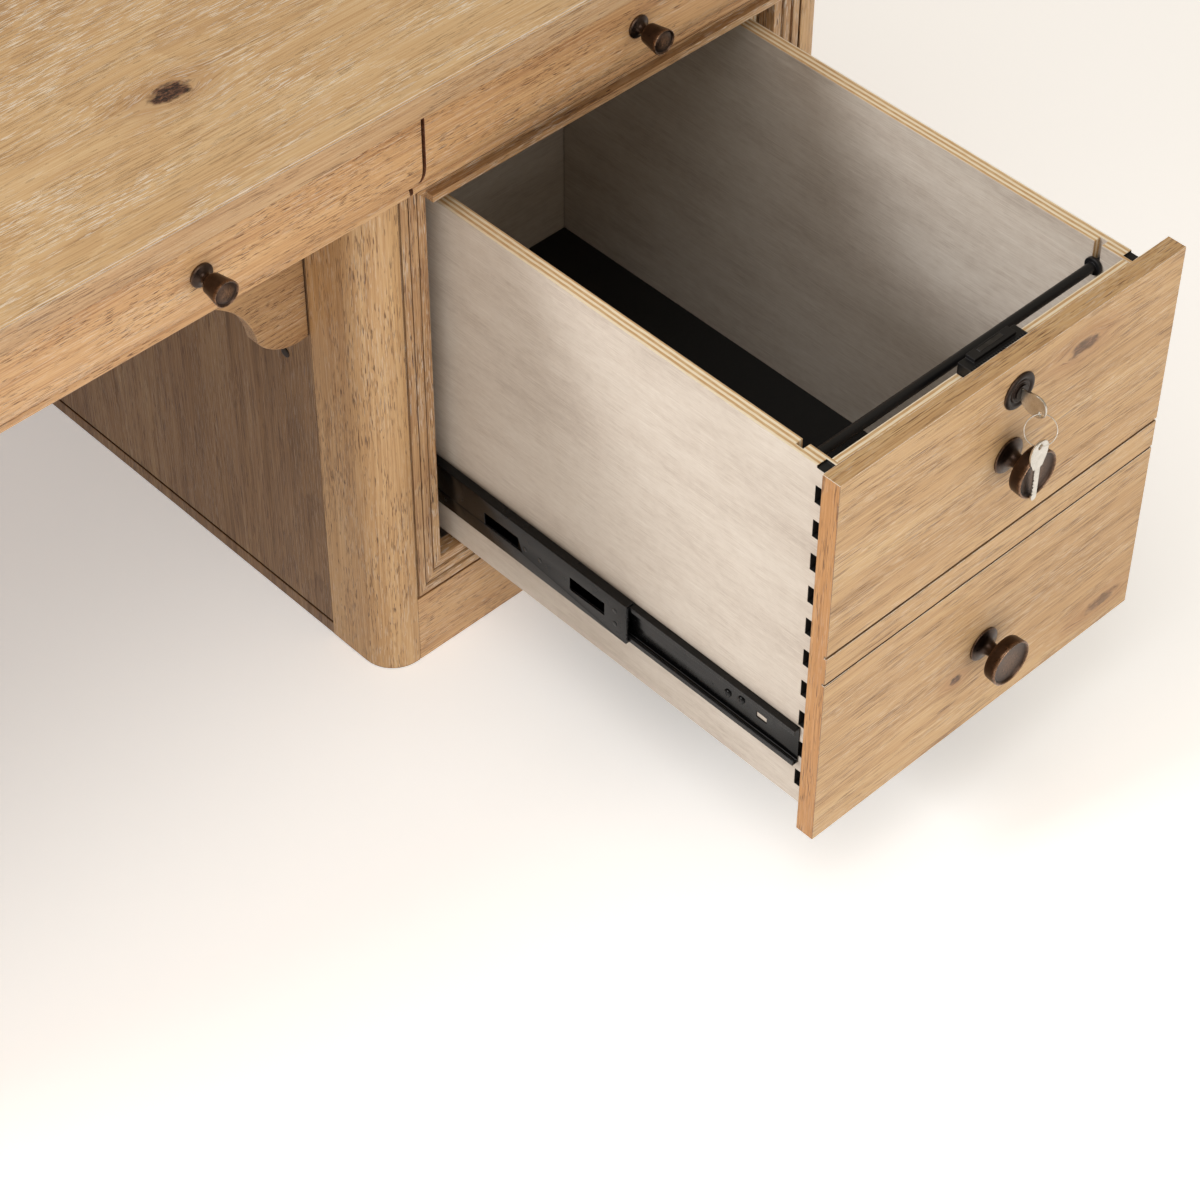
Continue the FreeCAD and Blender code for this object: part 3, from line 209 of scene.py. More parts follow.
# Colours that every cut of the oak shares.
PORE_BROWN = "#634024"
LIME_WHITE = "#e8dfd1"
FLECK_BROWN = "#4a301d"
GLUE_LINE = "#8a6947"
KNOT_HALO = "#94643c"
KNOT_BARK = ((0.38, "#1c110d"), (0.52, "#4a2e21"), (0.68, "#8a6046"))
# pale on the arrises, partly wear and partly a painted highlight
WORN_AND_HIGHLIGHT_OAK = "#e2cba9"
# painted shade laid into the corners and gaps
PAINTED_CORNER_SHADE = "#432c1b"


def part_round_knots(add, raw, across, wobble, knots):
    """Parts the grain round knots, as a stream parts round a stone.

    A knot is its place along and across, its radius, how much longer than wide it is, and its
    strength. Gives the bent place across the grain, and masks of the cores and of their halos.
    """
    core_mask, halo_mask = 0.0, 0.0
    for knot_along, knot_across, radius, length_share, strength in knots:
        off_along = add("Math", (raw.outputs["X"], knot_along), operation="SUBTRACT")
        off_along = add("Math", (off_along, length_share), operation="DIVIDE")
        off_across = add("Math", (raw.outputs["Y"], knot_across), operation="SUBTRACT")
        offset = add("CombineXYZ", (off_along, off_across))
        distance = add("VectorMath", (offset,), operation="LENGTH").outputs["Value"]
        reach = add("Math", (wobble, radius * KNOT_WOBBLE, distance), operation="MULTIPLY_ADD")
        share = add("Math", (distance, distance, radius * radius), operation="MULTIPLY_ADD")
        share = add("Math", (radius * radius * KNOT_PUSH, share), operation="DIVIDE")
        push = add("Math", (off_across, share), operation="MULTIPLY")
        across = add("Math", (across, push), operation="SUBTRACT")
        outer, inner = (radius * share_of_it for share_of_it in KNOT_CORE)
        core = add("MapRange", (reach, outer, inner, 0.0, strength))
        outer, inner = (radius * share_of_it for share_of_it in KNOT_FADE)
        halo = add("MapRange", (reach, outer, inner), interpolation_type="SMOOTHSTEP")
        core_mask = add("Math", (core, core_mask), operation="MAXIMUM")
        halo_mask = add("Math", (halo, halo_mask), operation="MAXIMUM")
    return across, core_mask, halo_mask


def glue_up(add, raw, along, across, planks, seed):
    """Glues a board up from planks, each with its own tone, heart and stretch of grain.

    Gives the place along the grain, the place across the rings, the plank's tone, and a mask
    of the glue lines.
    """
    width, start = planks
    count = add("Math", (raw.outputs["Y"], start), operation="SUBTRACT")
    beside = add("Math", (count, width / 2), operation="PINGPONG")
    joint = add("MapRange", (beside, *GLUE_REACH, 0.0, GLUE_STRENGTH))
    count = add("Math", (count, width), operation="DIVIDE")
    count = add("Math", (count,), operation="FLOOR")
    chance = add("Math", (count, seed + 0.5), operation="ADD")
    plank_tone = add("TexWhiteNoise", {"W": chance}, noise_dimensions="1D").outputs["Value"]
    along = add("Math", (plank_tone, PLANK_STRETCH, along), operation="MULTIPLY_ADD")
    middle_line = add("Math", (count, width, start + width / 2), operation="MULTIPLY_ADD")
    heart_off = add("Math", (plank_tone, width * 0.9, -width * 0.45), operation="MULTIPLY_ADD")
    ring_across = add("Math", (across, middle_line), operation="SUBTRACT")
    ring_across = add("Math", (ring_across, heart_off), operation="ADD")
    return along, ring_across, plank_tone, joint


def growth_rings(add, bent, ring_across, deep, jagged, heart_depth, figure, seed):
    """Draws growth rings round a heart that wanders slowly under the face.

    Gives a tone that darkens through each ring, and a mask of its porous early wood.
    """
    slow = patterns(add, bent, (("drift", 900.0, 2000.0, 1.0, 0.5),), seed + 3.0)["drift"]
    ring_deep = add("Math", (slow, HEART_DRIFT, deep), operation="MULTIPLY_ADD")
    ring_deep = add("Math", (ring_deep, heart_depth - HEART_DRIFT / 2), operation="ADD")
    radial = add("CombineXYZ", (ring_across, ring_deep))
    radial = add("VectorMath", (radial,), operation="LENGTH").outputs["Value"]
    phase = add("Math", (radial, GROWTH_RING), operation="DIVIDE")
    phase = add("Math", (jagged, 0.55, phase), operation="MULTIPLY_ADD")
    ring = add("Math", (phase,), operation="FRACT")
    late = add("MapRange", (ring, 0.1, 0.95, -0.1 * figure, 0.14 * figure))
    line = add("Math", (ring, 0.1), operation="SUBTRACT")
    line = add("Math", (line,), operation="ABSOLUTE")
    porous = add("MapRange", (line, 0.1, 0.03, 0.0, figure), interpolation_type="SMOOTHSTEP")
    return late, porous


def oak(
    name,
    order,
    tones,
    planks=None,
    knots=(),
    lime=0.3,
    pores=0.8,
    flecks=0.6,
    figure=0.4,
    heart=(0.0, -90.0),
    seed=0.0,
    corner_shade=0.86,
    pore_size=(24.0, 0.9),
):
    """Wire-brushed knotty oak under a matt limed lacquer, its grain along order's first axis.

    To the eye it is a warm tan with short dark pores and pale lime in the brushed grain, with brown
    painted shade in the corners and arrises that are pale, partly as wear and partly as a painted
    highlight.
    """
    material, add = blank_material(name)
    place = in_mm(add, order)
    raw = add("SeparateXYZ", (place,))
    along, across, deep = raw.outputs["X"], raw.outputs["Y"], raw.outputs["Z"]
    still = patterns(add, place, OAK_STILL, seed)
    across = add("Math", (still["sway"], 9.0, across), operation="MULTIPLY_ADD")

    across, core_mask, halo_mask = part_round_knots(add, raw, across, still["wobble"], knots)
    ring_across = add("Math", (across, heart[0]), operation="SUBTRACT")
    plank_tone = 0.5
    joint = None
    if planks:
        along, ring_across, plank_tone, joint = glue_up(add, raw, along, across, planks, seed)
    bent = add("CombineXYZ", (along, across, deep))
    grain = patterns(add, bent, OAK_GRAIN + (("pore", *pore_size, 1.0, 0.5),), seed)
    late, porous = growth_rings(
        add, bent, ring_across, deep, grain["jagged"], heart[1], figure, seed
    )

    tone = add("Math", (late, 0.5), operation="ADD")
    noises = [(grain[key], share) for key, share in TONE_SHARES]
    for noise, share in (*noises, (plank_tone, PLANK_TONE_SHARE)):
        level = add("Math", (noise, 0.5), operation="SUBTRACT")
        tone = add("Math", (level, share, tone), operation="MULTIPLY_ADD")
    base = add("ValToRGB", (tone,), stops=((0.15, tones[0]), (0.5, tones[1]), (0.85, tones[2])))

    # lime in the brushed grain, open dark pores, and longer dark flecks
    dash = add("MapRange", (grain["dash"], *OAK_FADES["dash"]), interpolation_type="SMOOTHSTEP")
    patch = add("MapRange", (grain["lime_patch"], *OAK_FADES["lime_patch"]),
                interpolation_type="SMOOTHSTEP")
    limed = add("Math", (dash, patch), operation="MULTIPLY")
    ring_lime = add("Math", (porous, dash), operation="MULTIPLY")
    limed = add("Math", (limed, ring_lime), operation="MAXIMUM")
    pore = add("MapRange", (grain["pore"], *OAK_FADES["pore"]), interpolation_type="SMOOTHSTEP")
    patch = add("MapRange", (grain["pore_patch"], *OAK_FADES["pore_patch"]),
                interpolation_type="SMOOTHSTEP")
    pore = add("Math", (pore, patch), operation="MULTIPLY")
    fleck = add("MapRange", (grain["fleck"], *OAK_FADES["fleck"]), interpolation_type="SMOOTHSTEP")
    shown = base
    for mask, share, shade in ((pore, pores, PORE_BROWN), (limed, lime, LIME_WHITE),
                               (fleck, flecks, FLECK_BROWN)):
        share = add("Math", (mask, share), operation="MULTIPLY")
        shown = add("Mix", {FACTOR: share, UNDER: shown, OVER: colour(shade)}, data_type="RGBA")
    if joint:
        shown = add("Mix", {FACTOR: joint, UNDER: shown, OVER: colour(GLUE_LINE)}, data_type="RGBA")
    if knots:
        halo = add("Math", (halo_mask, 0.4), operation="MULTIPLY")
        shown = add("Mix", {FACTOR: halo, UNDER: shown, OVER: colour(KNOT_HALO)}, data_type="RGBA")
        bark = add("ValToRGB", (still["crumb"],), stops=KNOT_BARK)
        shown = add("Mix", {FACTOR: core_mask, UNDER: shown, OVER: bark}, data_type="RGBA")

    # brown painted shade darkens the corners, and the arrises are painted pale, partly as wear and
    # partly as a painted highlight
    normal, edge = arris(add)
    rub = add("MapRange", (grain["rub"], 0.3, 0.6, 0.0, 0.24))
    wear_and_highlight = add("Math", (edge, rub), operation="MULTIPLY")
    shown = add("Mix", {FACTOR: wear_and_highlight, UNDER: shown, OVER: colour(WORN_AND_HIGHLIGHT_OAK)}, data_type="RGBA")
    corner = add("Math", (corner_shade_mask(add), corner_shade), operation="MULTIPLY")
    shown = add("Mix", {FACTOR: corner, UNDER: shown, OVER: colour(PAINTED_CORNER_SHADE)}, data_type="RGBA")

    height = add("Math", (grain["fibre"], 0.5), operation="MULTIPLY")
    for dip, share in ((pore, 0.6), (limed, 0.25), (fleck, 0.6), (core_mask, 0.6)):
        height = add("Math", (dip, -share, height), operation="MULTIPLY_ADD")
    bump = add("Bump", {"Height": height, "Strength": 0.6, "Distance": 0.0007, "Normal": normal})
    roughness = add("MapRange", (grain["streak"], 0.2, 0.8, 0.45, 0.6))
    add("OutputMaterial", (add("BsdfPrincipled", {
        "Base Color": shown, "Roughness": roughness, "Normal": bump, "IOR": 1.5}),))
    return material


# Ply: the wash from its thin spots to its thick ones, a scratch in it, the layers seen on an edge
# from tan to cream, and the shade in a corner. A layer's thickness is in mm.
WASH = ((0.28, "#b7aba0"), (0.39, "#cac0b5"), (0.5, "#d5cdc3"))
WASH_SCRATCH = "#e9e2d8"
PLY_LAYERS = ((0.25, "#c29c6e"), (0.5, "#dcc49c"), (0.75, "#ecdfc6"))
PLY_CORNER = "#6a5744"
PLY_LAYER = 2.7


def plywood(name, order, seed):
    """Birch ply under a thin grey lime wash, its thickness along order's last axis.

    To the eye its faces are a pale mottled greige with hair-fine scratches along the grain, and
    its edges show broad cream and tan layers.
    """
    material, add = blank_material(name)
    place = in_mm(add, order)
    grain = patterns(add, place, (
        ("hair", 38.0, 0.9, 2.0, 0.6),
        ("mottle", 13.0, 7.0, 5.0, 0.7),
        ("peeled", 130.0, 34.0, 3.0, 0.6),
        ("scratch", 60.0, 0.9, 1.0, 0.5),
        ("torn", 12.0, 1.3, 3.0, 0.6),
        ("wave", 90.0, 90.0, 1.0, 0.5),
    ), seed)
    tone = 0.0
    for key, share in (("hair", 0.3), ("mottle", 0.22), ("peeled", 0.26)):
        tone = add("Math", (grain[key], share, tone), operation="MULTIPLY_ADD")
    face = add("ValToRGB", (tone,), stops=WASH)
    scratch = add("MapRange", (grain["scratch"], 0.64, 0.7, 0.0, 0.3))
    face = add("Mix", {FACTOR: scratch, UNDER: face, OVER: colour(WASH_SCRATCH)}, data_type="RGBA")

    # layers through the thickness: cream along the grain, tan across it, with thin glue lines
    deep = add("SeparateXYZ", (place,)).outputs["Z"]
    deep = add("Math", (grain["wave"], 1.4, deep), operation="MULTIPLY_ADD")
    layer = add("Math", (deep, PLY_LAYER), operation="PINGPONG")
    layer = add("MapRange", (layer, 0.9, 1.8), interpolation_type="SMOOTHSTEP")
    layer = add("Math", (layer, 0.45), operation="MULTIPLY")
    layer = add("Math", (grain["torn"], 0.6, layer), operation="MULTIPLY_ADD")
    layers = add("ValToRGB", (layer,), stops=PLY_LAYERS)
    flat = add("NewGeometry").outputs["Normal"]
    facing = add("SeparateXYZ", (flat,)).outputs[order[2]]
    facing = add("Math", (facing,), operation="ABSOLUTE")
    edge_on = add("MapRange", (facing, 0.6, 0.4))
    shown = add("Mix", {FACTOR: edge_on, UNDER: face, OVER: layers}, data_type="RGBA")
    # painted shade in the inner corners and gaps of the ply
    corner = add("Math", (corner_shade_mask(add), 0.45), operation="MULTIPLY")
    shown = add("Mix", {FACTOR: corner, UNDER: shown, OVER: colour(PLY_CORNER)}, data_type="RGBA")
    normal, _ = arris(add)
    bump = add("Bump", {"Height": grain["hair"], "Strength": 0.3, "Distance": 0.0004,
                        "Normal": normal})
    roughness = add("MapRange", (grain["mottle"], 0.2, 0.8, 0.58, 0.74))
    add("OutputMaterial", (add("BsdfPrincipled", {
        "Base Color": shown, "Roughness": roughness, "Normal": bump}),))
    return material


def black_coat(name, base="#060607", worn="#0d0d0e", rim="#565558", gloss=0.2, grit=0.8):
    """Glossy black electro-coat on steel, or moulded black plastic with a duller gloss.

    To the eye it is near black with long soft highlights, a faint orange peel, and arrises painted
    a lighter grey as a highlight.
    """
    material, add = blank_material(name)
    grain = patterns(add, in_mm(add), (
        ("peel", grit, grit, 2.0, 0.5),
        ("dust", 26.0, 20.0, 4.0, 0.65),
    ), 1.0)
    normal, edge = arris(add)
    dust = add("Math", (grain["dust"], 0.4), operation="MULTIPLY")
    shown = add("Mix", {FACTOR: dust, UNDER: colour(base), OVER: colour(worn)}, data_type="RGBA")
    # the arrises are painted a lighter grey as a highlight
    edge = add("Math", (edge, 0.5), operation="MULTIPLY")
    shown = add("Mix", {FACTOR: edge, UNDER: shown, OVER: colour(rim)}, data_type="RGBA")
    bump = add("Bump", {"Height": grain["peel"], "Strength": 0.2, "Distance": 0.0001,
                        "Normal": normal})
    roughness = add("MapRange", (grain["dust"], 0.25, 0.75, gloss - 0.06, gloss + 0.12))
    # the index is matched: the coat gives back less light than a varnish would
    add("OutputMaterial", (add("BsdfPrincipled", {
        "Base Color": shown, "Roughness": roughness, "Normal": bump, "IOR": 1.36}),))
    return material


def black_facing():
    """Black paper-faced board: to the eye a dull black with a faint felt of fibres."""
    material, add = blank_material("black_faced_board_and_socket_shade")
    grain = patterns(add, in_mm(add), (
        ("fibre", 3.0, 1.2, 3.0, 0.5),
        ("scuff", 80.0, 60.0, 4.0, 0.6),
    ), 5.0)
    fibre = add("Math", (grain["fibre"], 0.35), operation="MULTIPLY")
    shown = add("Mix", {FACTOR: fibre, UNDER: colour("#030303"), OVER: colour("#0c0b0b")},
                data_type="RGBA")
    scuff = add("MapRange", (grain["scuff"], 0.5, 0.8, 0.0, 0.25))
    shown = add("Mix", {FACTOR: scuff, UNDER: shown, OVER: colour("#141312")}, data_type="RGBA")
    bump = add("Bump", {"Height": grain["fibre"], "Strength": 0.3, "Distance": 0.0002})
    roughness = add("MapRange", (grain["fibre"], 0.2, 0.8, 0.66, 0.76))
    add("OutputMaterial", (add("BsdfPrincipled", {
        "Base Color": shown, "Roughness": roughness, "Normal": bump}),))
    return material


def bronze(name, base="#4b3b32", low="#231a16", worn="#96745a", polish=0.3):
    """Oil-rubbed bronze: to the eye a soft dark brown metal, coppery where a rim is handled, and
    coppery pale in the middle of a knob's face as a painted highlight.
    """
    material, add = blank_material(name)
    grain = patterns(add, in_mm(add), (
        ("mottled", 6.0, 5.0, 4.0, 0.6),
        ("brushed", 1.2, 3.0, 3.0, 0.7),
    ), 2.0)
    shown = add("Mix", {FACTOR: grain["mottled"], UNDER: colour(low), OVER: colour(base)},
                data_type="RGBA")
    # the worn colour is wear on the rims, and a painted highlight in the middle of a knob's face
    rim = add("Attribute", attribute_name="worn", attribute_type="GEOMETRY").outputs["Fac"]
    brushed = add("MapRange", (grain["brushed"], 0.3, 0.65))
    wear_and_highlight = add("Math", (rim, brushed), operation="MULTIPLY")
    shown = add("Mix", {FACTOR: wear_and_highlight, UNDER: shown, OVER: colour(worn)}, data_type="RGBA")
    bump = add("Bump", {"Height": grain["mottled"], "Strength": 0.15, "Distance": 0.0002})
    roughness = add("MapRange", (grain["mottled"], 0.2, 0.8, polish - 0.06, polish + 0.1))
    roughness = add("Math", (wear_and_highlight, -0.08, roughness), operation="MULTIPLY_ADD")
    add("OutputMaterial", (add("BsdfPrincipled", {
        "Base Color": shown, "Metallic": 0.9, "Roughness": roughness, "Normal": bump}),))
    return material


def plated(name, low="#bdb8af", high="#e2ddd5", gloss=0.22):
    """Stamped nickel plate, as on a key blank: to the eye a bright metal with fine rub marks."""
    material, add = blank_material(name)
    grain = patterns(add, in_mm(add), (
        ("rub", 5.0, 0.5, 3.0, 0.7),
        ("cloud", 7.0, 6.0, 3.0, 0.5),
    ), 4.0)
    normal, _ = arris(add)
    shown = add("Mix", {FACTOR: grain["cloud"], UNDER: colour(low), OVER: colour(high)},
                data_type="RGBA")
    bump = add("Bump", {"Height": grain["rub"], "Strength": 0.12, "Distance": 0.0001,
                        "Normal": normal})
    roughness = add("MapRange", (grain["rub"], 0.2, 0.8, gloss, gloss + 0.16))
    add("OutputMaterial", (add("BsdfPrincipled", {
        "Base Color": shown, "Metallic": 1.0, "Roughness": roughness, "Normal": bump}),))
    return material


def arris_wear_and_painted_light(name, high, low, bare):
    """An arris painted pale where it looks up, as a highlight, and grey-brown below, as a shade;
    worn spots of bare wood break it.
    """
    material, add = blank_material(name)
    grain = patterns(add, in_mm(add), (("worn", 14.0, 9.0, 3.0, 0.65),), 6.0)
    facing = add("NewGeometry").outputs["Normal"]
    facing = add("SeparateXYZ", (facing,)).outputs["Z"]
    painted_top_light = add("MapRange", (facing, 0.2, 0.62), interpolation_type="SMOOTHSTEP")
    shown = add("Mix", {FACTOR: painted_top_light, UNDER: colour(low), OVER: colour(high)}, data_type="RGBA")
    broken = add("MapRange", (grain["worn"], 0.5, 0.62), interpolation_type="SMOOTHSTEP")
    broken = add("Math", (broken, 0.7), operation="MULTIPLY")
    shown = add("Mix", {FACTOR: broken, UNDER: shown, OVER: colour(bare)}, data_type="RGBA")
    roughness = add("MapRange", (grain["worn"], 0.3, 0.7, 0.45, 0.6))
    add("OutputMaterial", (add("BsdfPrincipled", {
        "Base Color": shown, "Roughness": roughness}),))
    return material


# limed planks of the desktop, with one bark-dark knot near the front edge
top_oak = oak("cerused_oak_top", "XYZ", ("#d6b98f", "#c5a276", "#a6805a"), seed=3.0,
              planks=(162.0, -202.0), knots=((249.0, -47.6, 12.0, 2.0, 1.0),),
              lime=0.6, pores=0.35, flecks=0.3, figure=0.45)
# the desktop's moulded edge holds less lime and looks smoother and browner
top_edge_oak = oak("cerused_oak_top_edge", "XZY", ("#cdb08a", "#bb966e", "#9d7853"), seed=7.0,
                   lime=0.12, pores=0.6, flecks=0.5, figure=0.2)
# the file front's veneer runs level, straight and open-pored
front_oak = oak("cerused_oak_file_front", "XZY", ("#cbac7e", "#b99468", "#98744a"), seed=11.0,
                knots=((771.6, 561.7, 9.0, 2.3, 0.75), (639.0, 210.0, 6.0, 1.5, 0.85),
                       (864.0, 162.0, 8.0, 3.4, 0.6)),
                lime=0.2, pores=0.75, flecks=0.3, figure=0.2, heart=(355.0, 640.0),
                pore_size=(36.0, 0.85))
# the band that covers the file front's ends runs upright and is a little redder
edge_oak = oak("oak_edge_band", "ZXY", ("#c39360", "#b4824f", "#94663a"), seed=13.0,
               lime=0.1, pores=0.8, flecks=0.4, figure=0.15)
# frieze and rails: stained a shade deeper, with bold short pores
rail_oak = oak("cerused_oak_rail", "XZY", ("#d9b486", "#c79c6d", "#9c6c42"), seed=19.0,
               lime=0.25, pores=0.85, flecks=0.5, figure=0.3, heart=(690.0, -90.0), corner_shade=0.4,
               pore_size=(13.0, 0.95))
# the apron is a darker and browner copy of the frieze's oak: painted shade for the shade under the
# frieze; its tones are matched
apron_oak_painted_shade = oak("cerused_oak_apron_painted_shade", "XZY", ("#bb9869", "#a98359", "#875f3b"), seed=23.0,
                lime=0.15, pores=0.9, flecks=0.9, figure=0.3, heart=(690.0, -90.0),
                pore_size=(11.0, 1.0))
# the rounded corner posts: straight upright grain, warm tan, with dark flecks
post_oak = oak("cerused_oak_upright", "ZXY", ("#d3b184", "#c1996a", "#a0764a"), seed=29.0,
               lime=0.22, pores=0.85, flecks=0.8, figure=0.3, heart=(60.0, -90.0),
               pore_size=(16.0, 0.9))
# the opening's mouldings are brushed hardest and keep most lime, with a lighter painted shade in
# their corners
moulding_oak = oak("limed_oak_moulding", "ZXY", ("#cbaa80", "#b28a60", "#8a6140"), seed=31.0,
                   lime=0.5, pores=1.0, flecks=0.9, figure=0.5, heart=(400.0, -100.0),
                   corner_shade=0.5)
cross_moulding_oak = oak("limed_oak_moulding_cross", "XZY", ("#cbaa80", "#b28a60", "#8a6140"),
                         seed=33.0, lime=0.5, pores=1.0, flecks=0.9, figure=0.5, corner_shade=0.5)
# flat side panels of upright planks, a duller tan with cathedral figure
panel_oak = oak("cerused_oak_panel", "ZYX", ("#c7a578", "#b18a60", "#916a44"), seed=37.0,
                planks=(140.0, -75.0), lime=0.3, pores=0.9, flecks=0.7, figure=0.45)
# the kneehole's panels are a darker brown copy of the outer ones: painted shade for the kneehole's
# shade under the desktop; its tones are matched
knee_oak_painted_shade = oak("cerused_oak_kneehole_painted_shade", "ZYX", ("#a5865c", "#8f6c46", "#6f5030"), seed=41.0,
               planks=(140.0, -75.0), lime=0.12, pores=0.9, flecks=0.7, figure=0.45)
# the frieze's short ends: the same bold pores, run from front to back
end_oak = oak("cerused_oak_cross_rail", "YZX", ("#d2ac7c", "#c2966a", "#9c6c42"), seed=43.0,
              lime=0.25, pores=1.0, flecks=0.9, figure=0.3)
# the back's wide upright planks, as the side panels
back_oak = oak("cerused_oak_back", "ZXY", ("#c7a578", "#b18a60", "#916a44"), seed=53.0,
               planks=(150.0, -990.0), lime=0.3, pores=0.9, flecks=0.7, figure=0.45)
# end grain in the slots between the frieze fronts drinks stain and turns red-brown
end_grain = oak("stained_oak_end_grain", "YXZ", ("#93603f", "#7d4e33", "#5b3722"), seed=59.0,
                lime=0.05, pores=0.9, flecks=0.5, figure=0.2, corner_shade=0.3)
# the desktop's thin arris and the file front's are painted pale as a highlight where they face up
# and dark as a shade below, both broken by worn spots of bare wood
top_arris = arris_wear_and_painted_light("top_arris_wear_and_painted_light", "#ddd3ca", "#6d5743", "#cdb897")
front_arris = arris_wear_and_painted_light("front_arris_wear_and_painted_light", "#f0e8db", "#6e5a48", "#ad8257")

# one ply in three cuts: grain from front to back, grain across, and laid flat
side_ply = plywood("washed_ply_side", "YZX", seed=2.0)
front_ply = plywood("washed_ply_cross", "XZY", seed=9.0)
flat_ply = plywood("washed_ply_flat", "YXZ", seed=15.0)
# slides have the deepest gloss, the rod and the lock's cast case are duller
slide_steel = black_coat("glossy_black_slide_steel")
rod_steel = black_coat("black_coated_rod", base="#151517", worn="#1f1f21", gloss=0.32)
lock_black = black_coat("black_lock_case", base="#111112", worn="#242325", rim="#4c4b4d",
                        gloss=0.36, grit=0.5)
# dark brown plastic with no shine to speak of
plug_plastic = black_coat("moulded_dark_brown_plug", base="#2b211a", worn="#3d3128",
                          rim="#54463a", gloss=0.5, grit=0.4)
# the black board's finish is also painted into the file box's sockets and pins as their shade
black_bottom_and_socket_shade = black_facing()
# the knobs are polished by hands, the plate round the lock stays duller and darker
knob_bronze = bronze("oil_rubbed_bronze")
escutcheon_bronze = bronze("oil_rubbed_bronze_plate", base="#2c2420", worn="#6f5643", polish=0.4)
# bright keys and ring, and the darker oiled steel of the bolt
key_nickel = plated("stamped_nickel")
bolt_steel = plated("dark_lock_steel", low="#3a393a", high="#5c5b5c", gloss=0.32)

FINISH_GROUPS = (
    (top_oak, "desk_top"),
    (front_oak, "right_file_front left_file_front"),
    (rail_oak, "right_drawer_front centre_drawer_front left_drawer_front base_rails "
               "drawer_rails frieze_back"),
    (apron_oak_painted_shade, "kneehole_apron"),
    (end_oak, "left_frieze_end right_frieze_end"),
    (post_oak, "left_front_posts right_front_posts left_rear_posts right_rear_posts"),
    (moulding_oak, "left_opening_moulding right_opening_moulding"),
    (panel_oak, "left_outer_side_panel right_outer_side_panel"),
    (knee_oak_painted_shade, "left_inner_side_panel right_inner_side_panel"),
    (back_oak, "pedestal_backs modesty_panel"),
    (flat_ply, "pedestal_bottoms pedestal_decks"),
    (side_ply, "runner_panels frieze_runners right_file_left_side right_file_right_side "
               "left_file_box right_drawer_box centre_drawer_box left_drawer_box"),
    (front_ply, "lock_strike right_file_box_front right_file_back"),
    (black_bottom_and_socket_shade, "right_file_bottom"),
    (plug_plastic, "panel_plugs"),
    (slide_steel, "left_slide_cabinet_members right_slide_cabinet_members "
                  "left_slide_middle_members right_slide_middle_members "
                  "left_slide_drawer_members right_slide_drawer_members"),
    (rod_steel, "file_rod"),
    (lock_black, "lock_housing"),
    (bolt_steel, "lock_bolt"),
    (escutcheon_bronze, "lock_escutcheon lock_plug"),
    (key_nickel, "key key_ring spare_key"),
    (knob_bronze, "right_file_knobs left_file_knobs right_drawer_knobs centre_drawer_knobs "
                  "left_drawer_knobs"),
)
for finish, node_names in FINISH_GROUPS:
    for node_name in node_names.split():
        nodes[node_name].data.materials.clear()
        nodes[node_name].data.materials.append(finish)

# Vertices closer than this, in metres, are one corner of a solid.
MERGE = 0.000002
# Angles in degrees: faces that count as one flat, edges that are eased, and edges left sharp.
FLAT_ANGLE = 0.8
EASE_ANGLE = 38.0
SHARP_ANGLE = 35.0


def finished_mesh(name, shape, materials=(), sharp=SHARP_ANGLE):
    """A mesh of a bmesh shape, shaded smooth but for its sharp edges."""
    mesh = bpy.data.meshes.new(name)
    shape.to_mesh(mesh)
    shape.free()
    for material in materials:
        mesh.materials.append(material)
    mesh.shade_smooth()
    mesh.set_sharp_from_angle(angle=math.radians(sharp))
    return mesh


def rest_on(name, mesh, body, replaced=()):
    """An object for a finished mesh that rides on its body."""
    piece = bpy.data.objects.new(name, mesh)
    bpy.context.scene.collection.objects.link(piece)
    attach(piece, body)
    if replaced:
        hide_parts(*replaced)
    return piece


def make_piece(name, shape, material, body, replaced=(), sharp=SHARP_ANGLE):
    """A finished piece from a bmesh shape."""
    bmesh.ops.remove_doubles(shape, verts=shape.verts, dist=MERGE)
    bmesh.ops.recalc_face_normals(shape, faces=shape.faces)
    rest_on(name, finished_mesh(name, shape, [material], sharp), body, replaced)


def softened(node_name, materials, width, choose=None, segments=2, arris_slot=None,
             prepare=None):
    """A copy of a node with its arrises eased by a width in mm, its faces shared out by choose."""
    source = nodes[node_name]
    shape = bmesh.new()
    shape.from_mesh(source.data)
    bmesh.ops.remove_doubles(shape, verts=shape.verts, dist=MERGE)
    bmesh.ops.dissolve_limit(shape, angle_limit=math.radians(FLAT_ANGLE), verts=shape.verts,
                             edges=shape.edges)
    if prepare:
        prepare(shape)
    if choose:
        for face in shape.faces:
            face.material_index = choose(face.calc_center_median(), face.normal)
    name = f"{node_name}_eased"
    mesh = finished_mesh(name, shape, materials, EASE_ANGLE)
    piece = rest_on(name, mesh, source["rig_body"], [node_name])
    ease = piece.modifiers.new("eased_arrises", "BEVEL")
    ease.width = width * MM
    ease.segments = segments
    ease.limit_method = "ANGLE"
    ease.angle_limit = math.radians(EASE_ANGLE)
    ease.harden_normals = True
    if arris_slot is not None:
        ease.material = arris_slot


